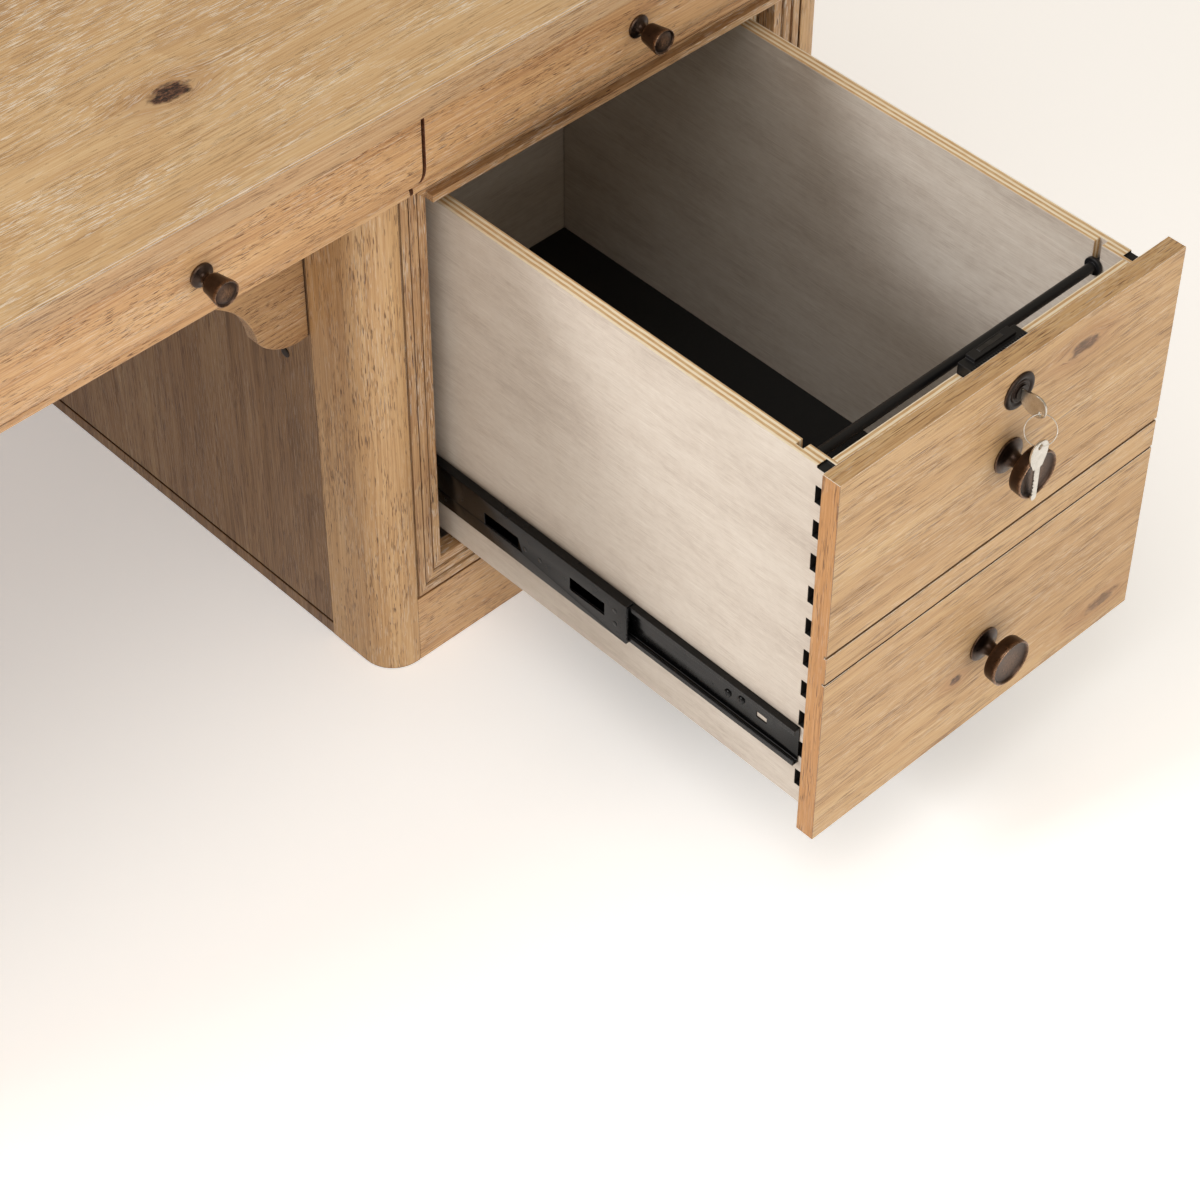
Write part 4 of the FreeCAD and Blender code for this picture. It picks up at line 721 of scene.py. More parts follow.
def spun(shape, profile, centre, axis, segments):
    """Adds a turned form: profile gives depth and radius in mm, and how much worn colour it takes
    there, which on a knob's face is a painted highlight.
    """
    worn = shape.verts.layers.float.get("worn") or shape.verts.layers.float.new("worn")
    axis = Vector(axis).normalized()
    side = axis.orthogonal().normalized()
    other = axis.cross(side)
    rings = []
    for depth, radius, rub in profile:
        hub = Vector(centre) * MM + axis * depth * MM
        ring = []
        for turn in range(segments if radius > 0 else 1):
            angle = math.tau * turn / segments
            spot = hub + (side * math.cos(angle) + other * math.sin(angle)) * radius * MM
            vertex = shape.verts.new(spot)
            vertex[worn] = rub
            ring.append(vertex)
        rings.append(ring)
    for low, high in zip(rings, rings[1:]):
        for turn in range(segments):
            after = (turn + 1) % segments
            corners = []
            for ring, at in ((low, turn), (low, after), (high, after), (high, turn)):
                vertex = ring[at % len(ring)]
                if vertex not in corners:
                    corners.append(vertex)
            if len(corners) > 2:
                shape.faces.new(corners)


def new_tree(name, inputs):
    """An empty geometry tree with named inputs, one output, and the function that adds nodes."""
    tree = bpy.data.node_groups.new(name, "GeometryNodeTree")
    tree.interface.new_socket("Path", in_out="INPUT", socket_type="NodeSocketGeometry")
    for label, kind in inputs:
        tree.interface.new_socket(label, in_out="INPUT", socket_type=f"NodeSocket{kind}")
    tree.interface.new_socket("Piece", in_out="OUTPUT", socket_type="NodeSocketGeometry")
    return tree, partial(put, tree)


def sweep_tree():
    """Draws a flat section along a path: slide races, and the coil of the key ring."""
    tree, add = new_tree("section_along_path", (("Section", "Object"), ("Finish", "Material")))
    given = add("NodeGroupInput").outputs
    path = add("GeometryNodeMeshToCurve", (given["Path"],))
    section = add("GeometryNodeObjectInfo", (given["Section"],)).outputs["Geometry"]
    section = add("GeometryNodeMeshToCurve", (section,))
    swept = add("GeometryNodeCurveToMesh",
                {"Curve": path, "Profile Curve": section, "Fill Caps": True})
    swept = add("GeometryNodeRealizeInstances", (swept,))
    swept = add("GeometryNodeSetMaterial", {"Geometry": swept, "Material": given["Finish"]})
    add("NodeGroupOutput", (swept,))
    return tree


def row_tree():
    """Repeats one small form at even steps along a path, turned about the upright."""
    tree, add = new_tree("form_along_path", (
        ("Form", "Object"), ("Step", "Float"), ("Turn", "Float"), ("Finish", "Material")))
    given = add("NodeGroupInput").outputs
    path = add("GeometryNodeMeshToCurve", (given["Path"],))
    path = add("GeometryNodeResampleCurve", {"Curve": path, "Length": given["Step"]},
               mode="LENGTH")
    form = add("GeometryNodeObjectInfo", (given["Form"],)).outputs["Geometry"]
    turn = add("CombineXYZ", {"Z": given["Turn"]})
    turn = add("FunctionNodeEulerToRotation", (turn,))
    row = add("GeometryNodeInstanceOnPoints",
              {"Points": path, "Instance": form, "Rotation": turn})
    row = add("GeometryNodeRealizeInstances", (row,))
    row = add("GeometryNodeSetMaterial", {"Geometry": row, "Material": given["Finish"]})
    add("NodeGroupOutput", (row,))
    return tree


SWEEP = sweep_tree()
ROW = row_tree()


def loops(rings, closed=True):
    """A mesh of edges through rings of points in metres."""
    spots, edges = [], []
    for ring in rings:
        first = len(spots)
        spots += [tuple(spot) for spot in ring]
        edges += [(first + k, first + k + 1) for k in range(len(ring) - 1)]
        if closed:
            edges.append((len(spots) - 1, first))
    mesh = bpy.data.meshes.new("guide")
    mesh.from_pydata(spots, edges, [])
    return mesh


def grown(tree, path, **inputs):
    """The mesh that a geometry tree makes of a path; its inputs are set by identifier."""
    guide = bpy.data.objects.new("guide", path)
    bpy.context.scene.collection.objects.link(guide)
    modifier = guide.modifiers.new("growth", "NODES")
    modifier.node_group = tree
    for item in tree.interface.items_tree:
        if item.in_out == "INPUT" and item.name in inputs:
            modifier[item.identifier] = inputs[item.name]
    depsgraph = bpy.context.evaluated_depsgraph_get()
    mesh = bpy.data.meshes.new_from_object(guide.evaluated_get(depsgraph))
    guide.modifiers.remove(modifier)
    bpy.data.objects.remove(guide)
    return mesh


def grown_piece(name, meshes, material, body, replaced=()):
    """One piece for a body from the meshes of several growths."""
    shape = bmesh.new()
    for mesh in meshes:
        shape.from_mesh(mesh)
        bpy.data.meshes.remove(mesh)
    make_piece(name, shape, material, body, replaced)


# Turned knobs: depth from the wood and radius in mm, and how far copper shows there: wear on the
# rims, and a painted highlight in the middle of the face.
FILE_KNOB = (
    (0.0, 0.0, 0.0), (0.0, 18.6, 0.3), (0.5, 19.0, 0.8), (1.3, 19.0, 0.5), (1.9, 18.4, 0.2),
    (2.3, 17.0, 0.0), (2.9, 15.8, 0.15), (3.4, 13.6, 0.0), (4.6, 10.8, 0.0), (6.4, 8.8, 0.0),
    (9.0, 7.6, 0.0), (13.0, 7.2, 0.0), (16.5, 7.8, 0.0), (19.0, 9.8, 0.0), (20.6, 13.6, 0.0),
    (21.4, 18.6, 0.0), (21.9, 22.6, 0.1), (22.6, 24.3, 0.3), (23.8, 24.9, 0.15),
    (26.0, 25.1, 0.0), (31.5, 25.4, 0.0), (33.6, 25.55, 0.2), (35.2, 25.6, 0.7),
    (36.1, 25.2, 1.0), (36.6, 24.4, 1.0), (36.4, 23.6, 0.7), (35.6, 22.9, 0.2),
    (34.4, 22.2, 0.0), (33.9, 21.2, 0.0), (33.6, 18.0, 0.1), (33.2, 12.0, 0.3),
    (33.0, 6.0, 0.45), (33.0, 0.0, 0.45),
)
FRIEZE_KNOB = (
    (0.0, 0.0, 0.0), (0.0, 12.0, 0.2), (0.5, 12.3, 0.7), (1.4, 12.3, 0.4), (2.1, 11.6, 0.1),
    (2.7, 10.2, 0.0), (3.6, 7.6, 0.0), (5.0, 5.9, 0.0), (7.5, 5.0, 0.0), (10.5, 4.9, 0.0),
    (12.6, 5.8, 0.0), (13.6, 8.2, 0.0), (14.1, 9.9, 0.2), (15.0, 10.5, 0.3), (17.0, 10.8, 0.0),
    (22.0, 11.5, 0.0), (27.0, 12.3, 0.0), (32.0, 13.1, 0.1), (34.2, 13.45, 0.6),
    (35.2, 13.4, 1.0), (35.7, 12.8, 1.0), (35.5, 12.2, 0.6), (34.4, 11.5, 0.1),
    (34.2, 10.8, 0.0), (34.8, 9.4, 0.05), (35.4, 6.4, 0.3), (35.7, 3.2, 0.6), (35.8, 0.0, 0.7),
)
FRONT = (0.0, -1.0, 0.0)
LEFTWARD = (-1.0, 0.0, 0.0)
RIGHTWARD = (1.0, 0.0, 0.0)
# Two knobs of one node stand further apart than this, in mm.
KNOBS_APART = 50.0
KNOB_PROFILES = {
    "right_file_knobs": FILE_KNOB,
    "left_file_knobs": FILE_KNOB,
    "right_drawer_knobs": FRIEZE_KNOB,
    "left_drawer_knobs": FRIEZE_KNOB,
    "centre_drawer_knobs": FRIEZE_KNOB,
}


def knob_seats(node_name):
    """Where each knob of a node meets the wood, in mm."""
    low, high = box(node_name)
    axis = 0 if high[0] - low[0] > high[2] - low[2] else 2
    corners = sorted({tuple(corner.co / MM) for corner in nodes[node_name].data.vertices},
                     key=lambda corner: corner[axis])
    knobs = [[corners[0]]]
    for before, corner in zip(corners, corners[1:]):
        if corner[axis] - before[axis] > KNOBS_APART:
            knobs.append([])
        knobs[-1].append(corner)
    for knob in knobs:
        x, _, z = (sum(parts) / len(knob) for parts in zip(*knob))
        yield x, high[1], z


for node_name, profile in KNOB_PROFILES.items():
    shape = bmesh.new()
    for spot in knob_seats(node_name):
        spun(shape, profile, spot, FRONT, segments=72)
    make_piece(f"{node_name}_turned", shape, knob_bronze, nodes[node_name]["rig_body"],
               [node_name])


# Woodwork with its arrises eased

# A face looks along an axis where its normal's share of that axis is over this.
SQUARE_ON = 0.7


def moulding_grain(node_name):
    """Stiles run upright and rails run across, and they meet at the mitre."""
    (low_x, _, low_z), (high_x, _, high_z) = box(node_name)

    def choose(spot, facing):
        from_side = min(spot.x / MM - low_x, high_x - spot.x / MM)
        from_end = min(spot.z / MM - low_z, high_z - spot.z / MM)
        return 0 if from_side < from_end else 1

    return choose


def end_faced(spot, facing):
    """The ends of a board have their own finish."""
    return 1 if abs(facing.x) > SQUARE_ON else 0


def edge_faced(spot, facing):
    """The edge of a board that lies flat has its own finish."""
    return 0 if abs(facing.z) > SQUARE_ON else 1


# the eased arrises of the desktop and of the file fronts take the painted highlight and shade
softened("desk_top", [top_oak, top_edge_oak, top_arris], 0.3, edge_faced, arris_slot=2)
for side in ("left", "right"):
    for post in ("front_posts", "rear_posts"):
        softened(f"{side}_{post}", [post_oak], 1.0)
    softened(f"{side}_inner_side_panel", [knee_oak_painted_shade], 0.8)
    softened(f"{side}_outer_side_panel", [panel_oak], 0.8)
    softened(f"{side}_opening_moulding", [moulding_oak, cross_moulding_oak], 0.5,
             moulding_grain(f"{side}_opening_moulding"))
    softened(f"{side}_frieze_end", [end_oak], 0.7)
    softened(f"{side}_file_front", [front_oak, edge_oak, front_arris], 0.9, end_faced,
             segments=3, arris_slot=2)
for name in ("right_drawer_front", "centre_drawer_front", "left_drawer_front"):
    softened(name, [rail_oak, end_grain], 0.7, end_faced)
softened("frieze_back", [rail_oak], 0.7)
softened("kneehole_apron", [apron_oak_painted_shade], 1.4)
softened("base_rails", [rail_oak], 1.0)
softened("pedestal_backs", [back_oak], 0.8)
softened("modesty_panel", [back_oak], 0.8)


# Drawer boxes

# In mm: the boards of a file box and of a frieze box, how far above a box's lower edge its bottom
# board ends, and how deep a routed socket runs back. A cut face lies further than the skin
# inside a board.
FILE_BOARD = 16.0
FRIEZE_BOARD = 12.0
BOTTOM_RISE = 28.0
SOCKET_RUN = 24.7
SKIN = 0.25


def box_grain(node_name, board):
    """Sides run back, ends run across, and the bottom lies flat."""
    (low_x, _, low_z), (high_x, _, _) = box(node_name)

    def choose(spot, facing):
        x = spot.x / MM
        low_and_flat = spot.z / MM < low_z + BOTTOM_RISE and abs(facing.z) > SQUARE_ON
        if low_and_flat and low_x + board < x < high_x - board:
            return 2
        return 1 if low_x + board + SKIN < x < high_x - board - SKIN else 0

    return choose


def socket_painted_shade(node_name):
    """The routed sockets up a side's front end are painted black inside as their shade."""
    (low_x, low_y, low_z), (high_x, _, high_z) = box(node_name)

    def choose(spot, facing):
        x, y, z = spot / MM
        in_board = low_x + SKIN < x < high_x - SKIN and low_z + SKIN < z < high_z - SKIN
        return 1 if in_board and low_y + SKIN < y < low_y + SOCKET_RUN else 0

    return choose


def pin_painted_shade(low_x, high_x):
    """The pins at a front board's ends, past low_x and high_x in mm, are painted black as shade as
    well.
    """

    def choose(spot, facing):
        return 0 if low_x - SKIN < spot.x / MM < high_x + SKIN else 1

    return choose


for side in ("left", "right"):
    softened(f"right_file_{side}_side", [side_ply, black_bottom_and_socket_shade], 0.8,
             socket_painted_shade(f"right_file_{side}_side"))
inner_left = box("right_file_left_side")[1][0]
inner_right = box("right_file_right_side")[0][0]
softened("right_file_box_front", [front_ply, black_bottom_and_socket_shade], 0.8,
         pin_painted_shade(inner_left, inner_right))
softened("right_file_back", [front_ply], 0.8)
softened("left_file_box", [side_ply, front_ply, black_bottom_and_socket_shade], 0.8,
         box_grain("left_file_box", FILE_BOARD))
for node_name in ("right_drawer_box", "left_drawer_box", "centre_drawer_box"):
    softened(node_name, [side_ply, front_ply, flat_ply], 0.6,
             box_grain(node_name, FRIEZE_BOARD))


# Slides: rolled shoulders, ball races, screws, rivets and an end stop

# In mm: the steel's gauge, the radius of a rolled shoulder, and the least height of a web.
GAUGE = 1.5
ROLL = 2.6
WEB_HEIGHT = 3.0
# An edge runs along a member where this share of its length does.
LENGTHWAYS = 0.99


def rolled(shape):
    """Rounds the long shoulders where a member's web turns into its flanges."""
    chosen = []
    for edge in shape.edges:
        run = edge.verts[1].co - edge.verts[0].co
        if len(edge.link_faces) != 2 or not edge.is_convex:
            continue
        if abs(run.y) < run.length * LENGTHWAYS:
            continue
        for face in edge.link_faces:
            tall = [corner.co.z for corner in face.verts]
            if abs(face.normal.x) > SQUARE_ON and max(tall) - min(tall) > WEB_HEIGHT * MM:
                chosen.append(edge)
                break
    bmesh.ops.bevel(shape, geom=chosen, offset=ROLL * MM, segments=4, profile=0.5,
                    affect="EDGES", clamp_overlap=True)


for side in ("left", "right"):
    for member in ("cabinet", "middle", "drawer"):
        softened(f"{side}_slide_{member}_members", [slide_steel], 0.3,
                 prepare=rolled)

# The right drawer's own middle, and the height of its slides.
DRAWER_X, _, SLIDE_Z = middle("right_slide_drawer_members")
# A drawer member's open side: x of its web's inner face and its flange's free edge, and z
# of the lower flange's inner face.
WEB_X = box("right_file_left_side")[0][0] - GAUGE
LIP_X = box("right_slide_drawer_members")[0][0]
FLANGE_Z = box("right_slide_drawer_members")[0][2] + GAUGE
# The turned-up lip of a race, and the radius of the cove that the balls run in, in mm.
LIP_HEIGHT = 4.6
LIP_THICK = 1.4
LIP_EASE = 0.5
COVE = 2.4
COVE_STEPS = 6


def race_section():
    """The coves and lips of one drawer member as loops of x and z in mm."""
    cove = [(WEB_X, FLANGE_Z)]
    for step in range(COVE_STEPS + 1):
        angle = math.pi / 2 * step / COVE_STEPS
        cove.append((WEB_X - COVE * (1 - math.cos(angle)), FLANGE_Z + COVE * (1 - math.sin(angle))))
    inner_x = LIP_X + LIP_THICK
    crest_z = FLANGE_Z + LIP_HEIGHT
    lip = [(LIP_X, FLANGE_Z), (LIP_X, crest_z - LIP_EASE), (LIP_X + LIP_EASE, crest_z),
           (inner_x - LIP_EASE, crest_z), (inner_x, crest_z - LIP_EASE), (inner_x, FLANGE_Z)]
    return [cove, lip]


def mirror_images(ring, sides):
    """A loop of x and z and its images above, and on the other side of the drawer."""
    for upside in (1.0, -1.0):
        for across in (1.0, -1.0):
            yield [((DRAWER_X + (x - DRAWER_X) * across) * sides * MM,
                    -(SLIDE_Z + (z - SLIDE_Z) * upside) * MM, 0.0) for x, z in ring]


# A head's outline as shares of its height and radius, and the sunk middle that a screw's has.
HEAD_OUTLINE = ((0.0, 0.0), (0.0, 1.0), (0.45, 1.0), (0.8, 0.84), (1.0, 0.6))
SUNK_MIDDLE = ((1.0, 0.36), (0.3, 0.24))
# A screw's cross: its turn in radians, its arms' depth and width in mm, their length as a share
# of the radius, and how high in the head they lie.
CROSS_TURN = 0.35
ARM_DEPTH = 0.5
ARM_WIDTH = 0.7
ARM_LENGTH_SHARE = 1.1
ARM_HEIGHT_SHARE = 0.8


def dome(radius, height, crossed):
    """A screw or rivet head that looks along -X, as an object to repeat."""
    shape = bmesh.new()
    outline = HEAD_OUTLINE + (SUNK_MIDDLE if crossed else ())
    outline += ((outline[-1][0], 0.0),)
    profile = [(height * up, radius * out, 0.0) for up, out in outline]
    spun(shape, profile, (0.0, 0.0, 0.0), LEFTWARD, segments=20)
    if crossed:
        for turn in (CROSS_TURN, CROSS_TURN + math.pi / 2):
            for corner in bmesh.ops.create_cube(shape, size=1.0)["verts"]:
                x = corner.co.x * ARM_DEPTH - height * ARM_HEIGHT_SHARE
                y = corner.co.y * radius * ARM_LENGTH_SHARE
                z = corner.co.z * ARM_WIDTH
                corner.co = Vector((x, y * math.cos(turn) - z * math.sin(turn),
                                    y * math.sin(turn) + z * math.cos(turn))) * MM
    bmesh.ops.recalc_face_normals(shape, faces=shape.faces)
    return bpy.data.objects.new("head", finished_mesh("head", shape))


# Width in mm by which a small block's edges are eased.
BLOCK_EASE = 0.3


def block(low, high):
    """A small block between two corners in mm with its edges eased, as an object to repeat."""
    shape = bmesh.new()
    for corner in bmesh.ops.create_cube(shape, size=1.0)["verts"]:
        for axis in range(3):
            centre, span = (low[axis] + high[axis]) / 2, high[axis] - low[axis]
            corner.co[axis] = (centre + corner.co[axis] * span) * MM
    bmesh.ops.bevel(shape, geom=shape.edges[:], offset=BLOCK_EASE * MM, segments=2, profile=0.5,
                    affect="EDGES", clamp_overlap=True)
    return bpy.data.objects.new("block", finished_mesh("block", shape))


SCREW_HEAD = dome(4.4, 2.2, crossed=True)
RIVET_HEAD = dome(3.0, 0.25, crossed=False)
CRIMP = block((0.4, -0.8, -2.4), (3.1, 0.0, 2.4))

# Rows of forms: each runs between two points, in mm back from the member's front end and above
# the slide's middle. The middle members carry low pressed marks, and a crimped guard across
# their front end.
SCREW_ROWS = (
    ((76.0, 3.5), (94.0, -1.0)),
    ((330.0, 0.0), (350.0, 0.0)),
    ((500.0, 0.0), (520.0, 0.0)),
)
MARK_ROWS = (
    ((16.0, 9.0), (16.0, -9.0)),
    ((124.0, 0.0), (146.0, 0.0)),
    ((330.0, 0.0), (352.0, 0.0)),
)
CRIMP_ROWS = (((0.0, -21.0), (0.0, 21.1)),)
HEAD_STEP = 18.0
CRIMP_STEP = 6.0


def form_rows(form, x, first, rows, step, sides):
    """Rows of a form on both members of a pair that starts at y of first."""
    for across in (1.0, -1.0):
        place_x = (DRAWER_X + (x - DRAWER_X) * across) * sides
        paths = [[(place_x * MM, (first + y) * MM, (SLIDE_Z + z) * MM) for y, z in row]
                 for row in rows]
        turn = 0.0 if across * sides > 0 else math.pi
        yield grown(ROW, loops(paths, closed=False), Form=form, Step=step * MM, Turn=turn,
                    Finish=slide_steel)


for side, sides in (("right", 1.0), ("left", -1.0)):
    drawer_low, drawer_high = box(f"{side}_slide_drawer_members")
    first, last = drawer_low[1], drawer_high[1]
    rings = [image for ring in race_section() for image in mirror_images(ring, sides)]
    section = bpy.data.objects.new("race_section", loops(rings))
    path = loops([[(0.0, first * MM, 0.0), (0.0, last * MM, 0.0)]], closed=False)
    races = grown(SWEEP, path, Section=section, Finish=slide_steel)
    bpy.data.objects.remove(section)
    grown_piece(f"{side}_slide_races", [races], slide_steel, f"{side}_file_drawer")
    screws = form_rows(SCREW_HEAD, WEB_X, first, SCREW_ROWS, HEAD_STEP, sides)
    grown_piece(f"{side}_slide_screws", screws, slide_steel, f"{side}_file_drawer")

face_x = box("right_slide_middle_members")[0][0]
for side, sides in (("right", 1.0), ("left", -1.0)):
    first = box(f"{side}_slide_middle_members")[0][1]
    marks = list(form_rows(RIVET_HEAD, face_x, first, MARK_ROWS, HEAD_STEP, sides))
    marks += form_rows(CRIMP, face_x, first, CRIMP_ROWS, CRIMP_STEP, sides)
    grown_piece(f"{side}_slide_marks", marks, slide_steel, f"{side}_slide_middles")


# File rod, panel plugs and lock

rod_low, rod_high = box("file_rod")
_, rod_y, rod_z = middle("file_rod")
rod_length = rod_high[0] - rod_low[0]
# In mm: the stub at each end of the rod, and the flange before the right-hand one.
ROD_STUB = 9.0
ROD_FLANGE = 4.0
stub_x = rod_length - ROD_STUB
flange_x = stub_x - ROD_FLANGE
ROD = (
    (0.0, 0.0, 0.0), (0.0, 3.4, 0.0), (0.6, 4.0, 0.0), (ROD_STUB, 4.0, 0.0),
    (ROD_STUB, 4.9, 0.0), (ROD_STUB + 0.4, 5.3, 0.0), (flange_x - 0.1, 5.3, 0.0),
    (flange_x, 8.9, 0.0), (flange_x + 0.6, 9.5, 0.0), (stub_x - 0.6, 9.5, 0.0),
    (stub_x, 8.9, 0.0), (stub_x, 4.0, 0.0), (rod_length - 0.6, 4.0, 0.0),
    (rod_length, 3.4, 0.0), (rod_length, 0.0, 0.0),
)
shape = bmesh.new()
spun(shape, ROD, (rod_low[0], rod_y, rod_z), RIGHTWARD, segments=40)
make_piece("file_rod_turned", shape, rod_steel, "file_rod", ["file_rod"])

PLUG_CAP = ((0.0, 0.0, 0.0), (0.0, 5.8, 0.0), (0.4, 6.0, 0.0), (0.8, 5.8, 0.0), (1.1, 5.0, 0.0),
            (1.2, 3.4, 0.0), (1.2, 0.0, 0.0))
plugs_low, plugs_high = box("panel_plugs")
_, plug_y, plug_z = middle("panel_plugs")
shape = bmesh.new()
spun(shape, PLUG_CAP, (plugs_high[0], plug_y, plug_z), LEFTWARD, segments=32)
spun(shape, PLUG_CAP, (plugs_low[0], plug_y, plug_z), RIGHTWARD, segments=32)
make_piece("panel_plugs_turned", shape, plug_plastic, "desk", ["panel_plugs"])

ESCUTCHEON = (
    (0.0, 0.0, 0.0), (0.0, 19.5, 0.3), (0.3, 19.95, 0.6), (0.9, 20.0, 0.6), (1.4, 19.7, 0.3),
    (1.9, 18.9, 0.1), (2.35, 17.6, 0.0), (2.5, 16.0, 0.1), (2.3, 14.6, 0.0), (1.5, 13.6, 0.0),
    (1.3, 12.6, 0.0), (1.9, 11.9, 0.1), (2.2, 11.0, 0.15), (2.0, 10.2, 0.0), (1.8, 9.3, 0.0),
    (2.4, 8.7, 0.2), (2.5, 8.05, 0.2), (0.0, 8.02, 0.0),
)
lock_x = middle("lock_housing")[0]
lock_z = middle("lock_plug")[2]
face_y = box("right_file_front")[0][1]
shape = bmesh.new()
spun(shape, ESCUTCHEON, (lock_x, face_y, lock_z), FRONT, segments=64)
make_piece("lock_escutcheon_turned", shape, escutcheon_bronze, "right_file_drawer",
           ["lock_escutcheon"])
softened("lock_plug", [escutcheon_bronze], 0.4)
softened("lock_housing", [lock_black], 0.7, segments=3)
softened("lock_bolt", [bolt_steel], 0.4)

# a row of small ribs along the front of the lock's case: in mm, the ends of the row from the
# case's ends, how far it lies behind the case's front and under its top, and its step
RIB = block((-0.8, 0.0, 0.0), (0.8, 6.5, 1.3))
RIB_INSETS = (2.5, 2.4)
RIB_SETBACK = 1.158
RIB_DROP = 4.0
RIB_STEP = 3.2
case_low, case_high = box("lock_housing")
rib_y = case_low[1] + RIB_SETBACK
rib_z = case_high[2] - RIB_DROP
row = [(x * MM, rib_y * MM, rib_z * MM)
       for x in (case_low[0] + RIB_INSETS[0], case_high[0] - RIB_INSETS[1])]
ribs = grown(ROW, loops([row], closed=False), Form=RIB, Step=RIB_STEP * MM, Turn=0.0,
             Finish=lock_black)
grown_piece("lock_case_ribs", [ribs], lock_black, "right_file_drawer")


# Keys: a full bow that narrows to a notched blade, with a pressed rim all round

def circle(radius, corners, centre=(0.0, 0.0)):
    """Points of a circle about a centre."""
    turns = [math.tau * k / corners for k in range(corners)]
    return [(centre[0] + radius * math.cos(turn), centre[1] + radius * math.sin(turn))
            for turn in turns]


# Half of a key's outline: mm from the bow's crown, and mm off the key's middle line.
KEY_HALF = (
    (0.0, 0.0), (0.3, 3.2), (1.2, 6.0), (2.8, 8.3), (5.0, 10.2), (8.0, 11.4), (12.0, 12.0),
    (16.0, 11.9), (20.0, 11.1), (24.0, 9.7), (27.0, 8.2), (29.5, 7.0), (31.0, 6.7), (31.6, 5.4),
    (32.2, 3.5), (40.0, 3.5), (69.5, 3.5), (72.0, 1.6),
)
# The blade's cuts: where each lies and how deep it is, and half its width.
KEY_CUTS = ((46.0, 1.7), (50.5, 1.0), (55.0, 2.1), (59.5, 1.3), (64.0, 1.9))
CUT_HALF_WIDTH = 1.6
CUTS_START = 42.0
CUTS_END = 66.0
BLADE_HALF_HEIGHT = 3.5
KEY_THICK = 2.0
KEY_HOLE_RADIUS = 3.0
# A bow that hangs off the blade's line comes back to it between these two.
BOW_NARROWS = 24.0
SHOULDER = 34.0
# Width and depth of the rim that is pressed all round.
RIM_WIDTH = 1.0
RIM_DEPTH = 0.3
KEY_SHARP_ANGLE = 30.0


def key_piece(name, node_name, body, start, along, across, hole, shift):
    """A key: start is the bow's crown in mm; shift is how far the bow hangs off the blade."""
    start, along, across = Vector(start), Vector(along), Vector(across)
    through = along.cross(across)
    plain_side = [(t, -w) for t, w in KEY_HALF[1:]]
    cut_side = [(t, w) for t, w in KEY_HALF if t < CUTS_START]
    for t, deep in KEY_CUTS:
        cut_side += [(t - CUT_HALF_WIDTH, BLADE_HALF_HEIGHT), (t, BLADE_HALF_HEIGHT - deep),
                     (t + CUT_HALF_WIDTH, BLADE_HALF_HEIGHT)]
    cut_side += [(t, w) for t, w in KEY_HALF if t > CUTS_END]
    outline = []
    for t, w in cut_side + plain_side[::-1]:
        on_blade = min(max((t - BOW_NARROWS) / (SHOULDER - BOW_NARROWS), 0.0), 1.0)
        outline.append((t, w - shift * (1.0 - on_blade)))
    shape = bmesh.new()
    edges = []
    for ring in (outline, circle(KEY_HOLE_RADIUS, 20, hole)):
        corners = []
        for t, w in ring:
            spot = start + along * t + across * w
            corners.append(shape.verts.new((spot - through * KEY_THICK / 2) * MM))
        edges += [shape.edges.new((a, b)) for a, b in zip(corners, corners[1:] + corners[:1])]
    bmesh.ops.triangle_fill(shape, use_beauty=True, edges=edges)
    flat = shape.faces[:]
    grown_up = bmesh.ops.extrude_face_region(shape, geom=flat)["geom"]
    top = [part for part in grown_up if isinstance(part, bmesh.types.BMFace)]
    for corner in {corner for face in top for corner in face.verts}:
        corner.co += through * KEY_THICK * MM
    bmesh.ops.recalc_face_normals(shape, faces=shape.faces)
    for side in (top, [face for face in flat if face.is_valid]):
        bmesh.ops.inset_region(shape, faces=side, thickness=RIM_WIDTH * MM,
                               depth=-RIM_DEPTH * MM, use_even_offset=True)
    make_piece(name, shape, key_nickel, body, [node_name], KEY_SHARP_ANGLE)


# How far in mm the key in the lock stands out in front of the drawer.
KEY_REACH = 33.0
key_piece("key_cut_blank", "key", "lock_plug", (lock_x, face_y - KEY_REACH, lock_z),
          (0.0, 1.0, 0.0), (0.0, 0.0, 1.0), hole=(5.0, -10.0), shift=5.0)
spare_x, spare_y, _ = middle("spare_key")
spare_top = box("spare_key")[1][2]
key_piece("spare_key_cut_blank", "spare_key", "spare_key", (spare_x, spare_y, spare_top),
          (0.0, 0.0, -1.0), LEFTWARD, hole=(6.0, 0.0), shift=0.0)

# a split ring of nearly two turns of round wire, with its sizes in mm
RING_CENTRE = Vector(middle("key_ring"))
RING_AXIS = Vector((-0.6183, -0.6183, 0.4851))
RING_RADIUS = 15.12
WIRE_RADIUS = 0.42
COIL_PITCH = 0.78
COIL_TURNS = 1.94
COIL_STEPS = 99
side = RING_AXIS.orthogonal().normalized()
other = RING_AXIS.cross(side)
coil = []
for step in range(COIL_STEPS + 1):
    share = step / COIL_STEPS
    angle = share * COIL_TURNS * math.tau
    spot = RING_CENTRE + RING_AXIS * (share - 0.5) * COIL_PITCH
    spot += (side * math.cos(angle) + other * math.sin(angle)) * RING_RADIUS
    coil.append(spot * MM)
wire = [(x * MM, y * MM, 0.0) for x, y in circle(WIRE_RADIUS, 10)]
section = bpy.data.objects.new("wire_section", loops([wire]))
ring = grown(SWEEP, loops([coil], closed=False), Section=section, Finish=key_nickel)
bpy.data.objects.remove(section)
grown_piece("key_ring_coil", [ring], key_nickel, "key_ring", ["key_ring"])
for form in (SCREW_HEAD, RIVET_HEAD, CRIMP, RIB):
    bpy.data.objects.remove(form)

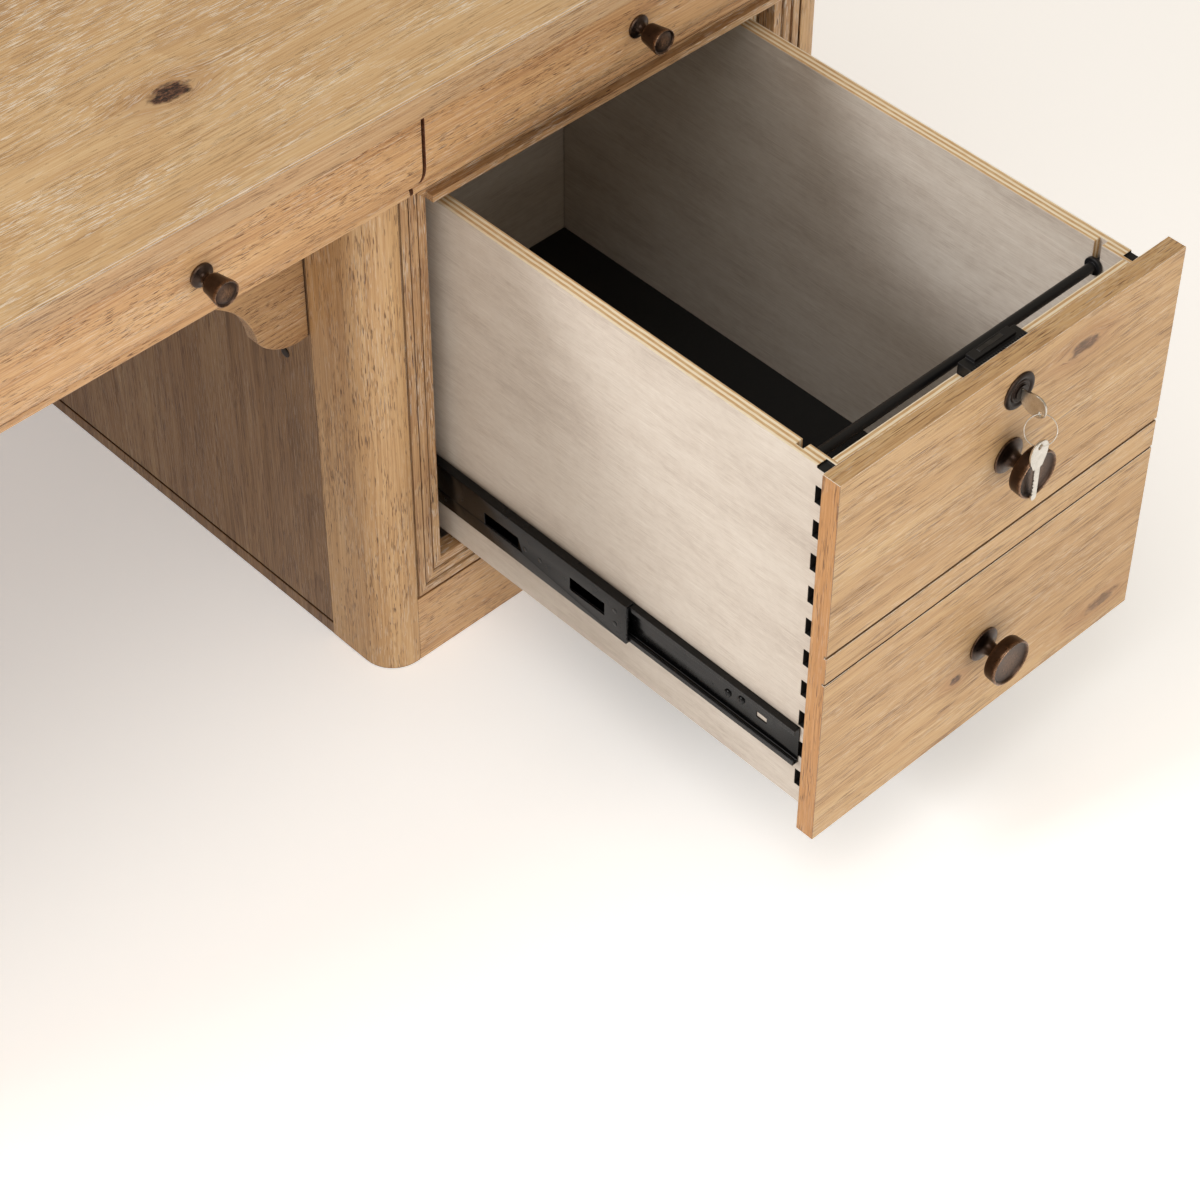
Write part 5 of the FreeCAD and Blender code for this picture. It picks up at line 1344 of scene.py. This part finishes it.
# Camera of the photograph: a long lens in mm, high on the front left, and its place in metres
LENS = 97.11
SENSOR = 36.0
CAMERA_PLACE = Vector((-1.0815, -1.98511, 2.51895))
AZIMUTH = math.radians(-43.90)
ELEVATION = math.radians(46.02)
LEAN = math.radians(0.38)
back = Vector((
    math.sin(AZIMUTH) * math.cos(ELEVATION),
    -math.cos(AZIMUTH) * math.cos(ELEVATION),
    math.sin(ELEVATION),
))
right = Vector((math.cos(AZIMUTH), math.sin(AZIMUTH), 0.0))
up = back.cross(right)
right_leaned = right * math.cos(LEAN) + up * math.sin(LEAN)
up_leaned = up * math.cos(LEAN) - right * math.sin(LEAN)
camera_data = bpy.data.cameras.new("photo_camera")
camera_data.lens = LENS
camera_data.sensor_width = SENSOR
camera = bpy.data.objects.new("photo_camera", camera_data)
turned = Matrix((right_leaned, up_leaned, back)).transposed().to_4x4()
camera.matrix_world = Matrix.Translation(CAMERA_PLACE) @ turned
bpy.context.scene.collection.objects.link(camera)
bpy.context.scene.camera = camera

# Pale floor and soft studio light: half the floor's width in metres, and how much it glows
FLOOR_HALF = 14.0
FLOOR_GLOW = 0.36
floor_shape = bmesh.new()
bmesh.ops.create_grid(floor_shape, x_segments=1, y_segments=1, size=FLOOR_HALF)
floor_mesh = bpy.data.meshes.new("studio_floor")
floor_shape.to_mesh(floor_mesh)
floor_shape.free()
floor = bpy.data.objects.new("studio_floor", floor_mesh)
bpy.context.scene.collection.objects.link(floor)
floor_paint, add = blank_material("white_studio_floor")
# a plain white sweep that gives back a little light of its own, as a lit backdrop does
add("OutputMaterial", (add("BsdfPrincipled", {
    "Base Color": colour("#fafafa"), "Roughness": 0.9,
    "Emission Color": colour("#ffffff"), "Emission Strength": FLOOR_GLOW}),))
floor_mesh.materials.append(floor_paint)
bpy.context.scene.view_settings.view_transform = "Standard"

# Strength of the warm light that comes from all round
SURROUND = 0.42
world = bpy.data.worlds.new("studio_surround")
bpy.context.scene.world = world
world.use_nodes = True
surround = world.node_tree.nodes["Background"].inputs
surround["Color"].default_value = colour("#fff0d8")
surround["Strength"].default_value = SURROUND


def soft_light(name, place, aim, size, power):
    """A square soft light aimed at a point: places and size in metres, power in watts."""
    light = bpy.data.lights.new(name, "AREA")
    light.shape = "SQUARE"
    light.size = size
    light.energy = power
    lamp = bpy.data.objects.new(name, light)
    lamp.location = place
    lamp.rotation_euler = (Vector(aim) - Vector(place)).to_track_quat("-Z", "Y").to_euler()
    bpy.context.scene.collection.objects.link(lamp)


soft_light("key_light", (-3.4, 0.7, 2.5), (0.6, -0.35, 0.4), 0.9, 102.0)
soft_light("front_light", (0.5, -4.4, 1.0), (0.5, -0.2, 0.5), 2.6, 68.0)
soft_light("top_light", (-0.9, -1.0, 3.8), (0.6, -0.4, 0.4), 2.4, 44.0)
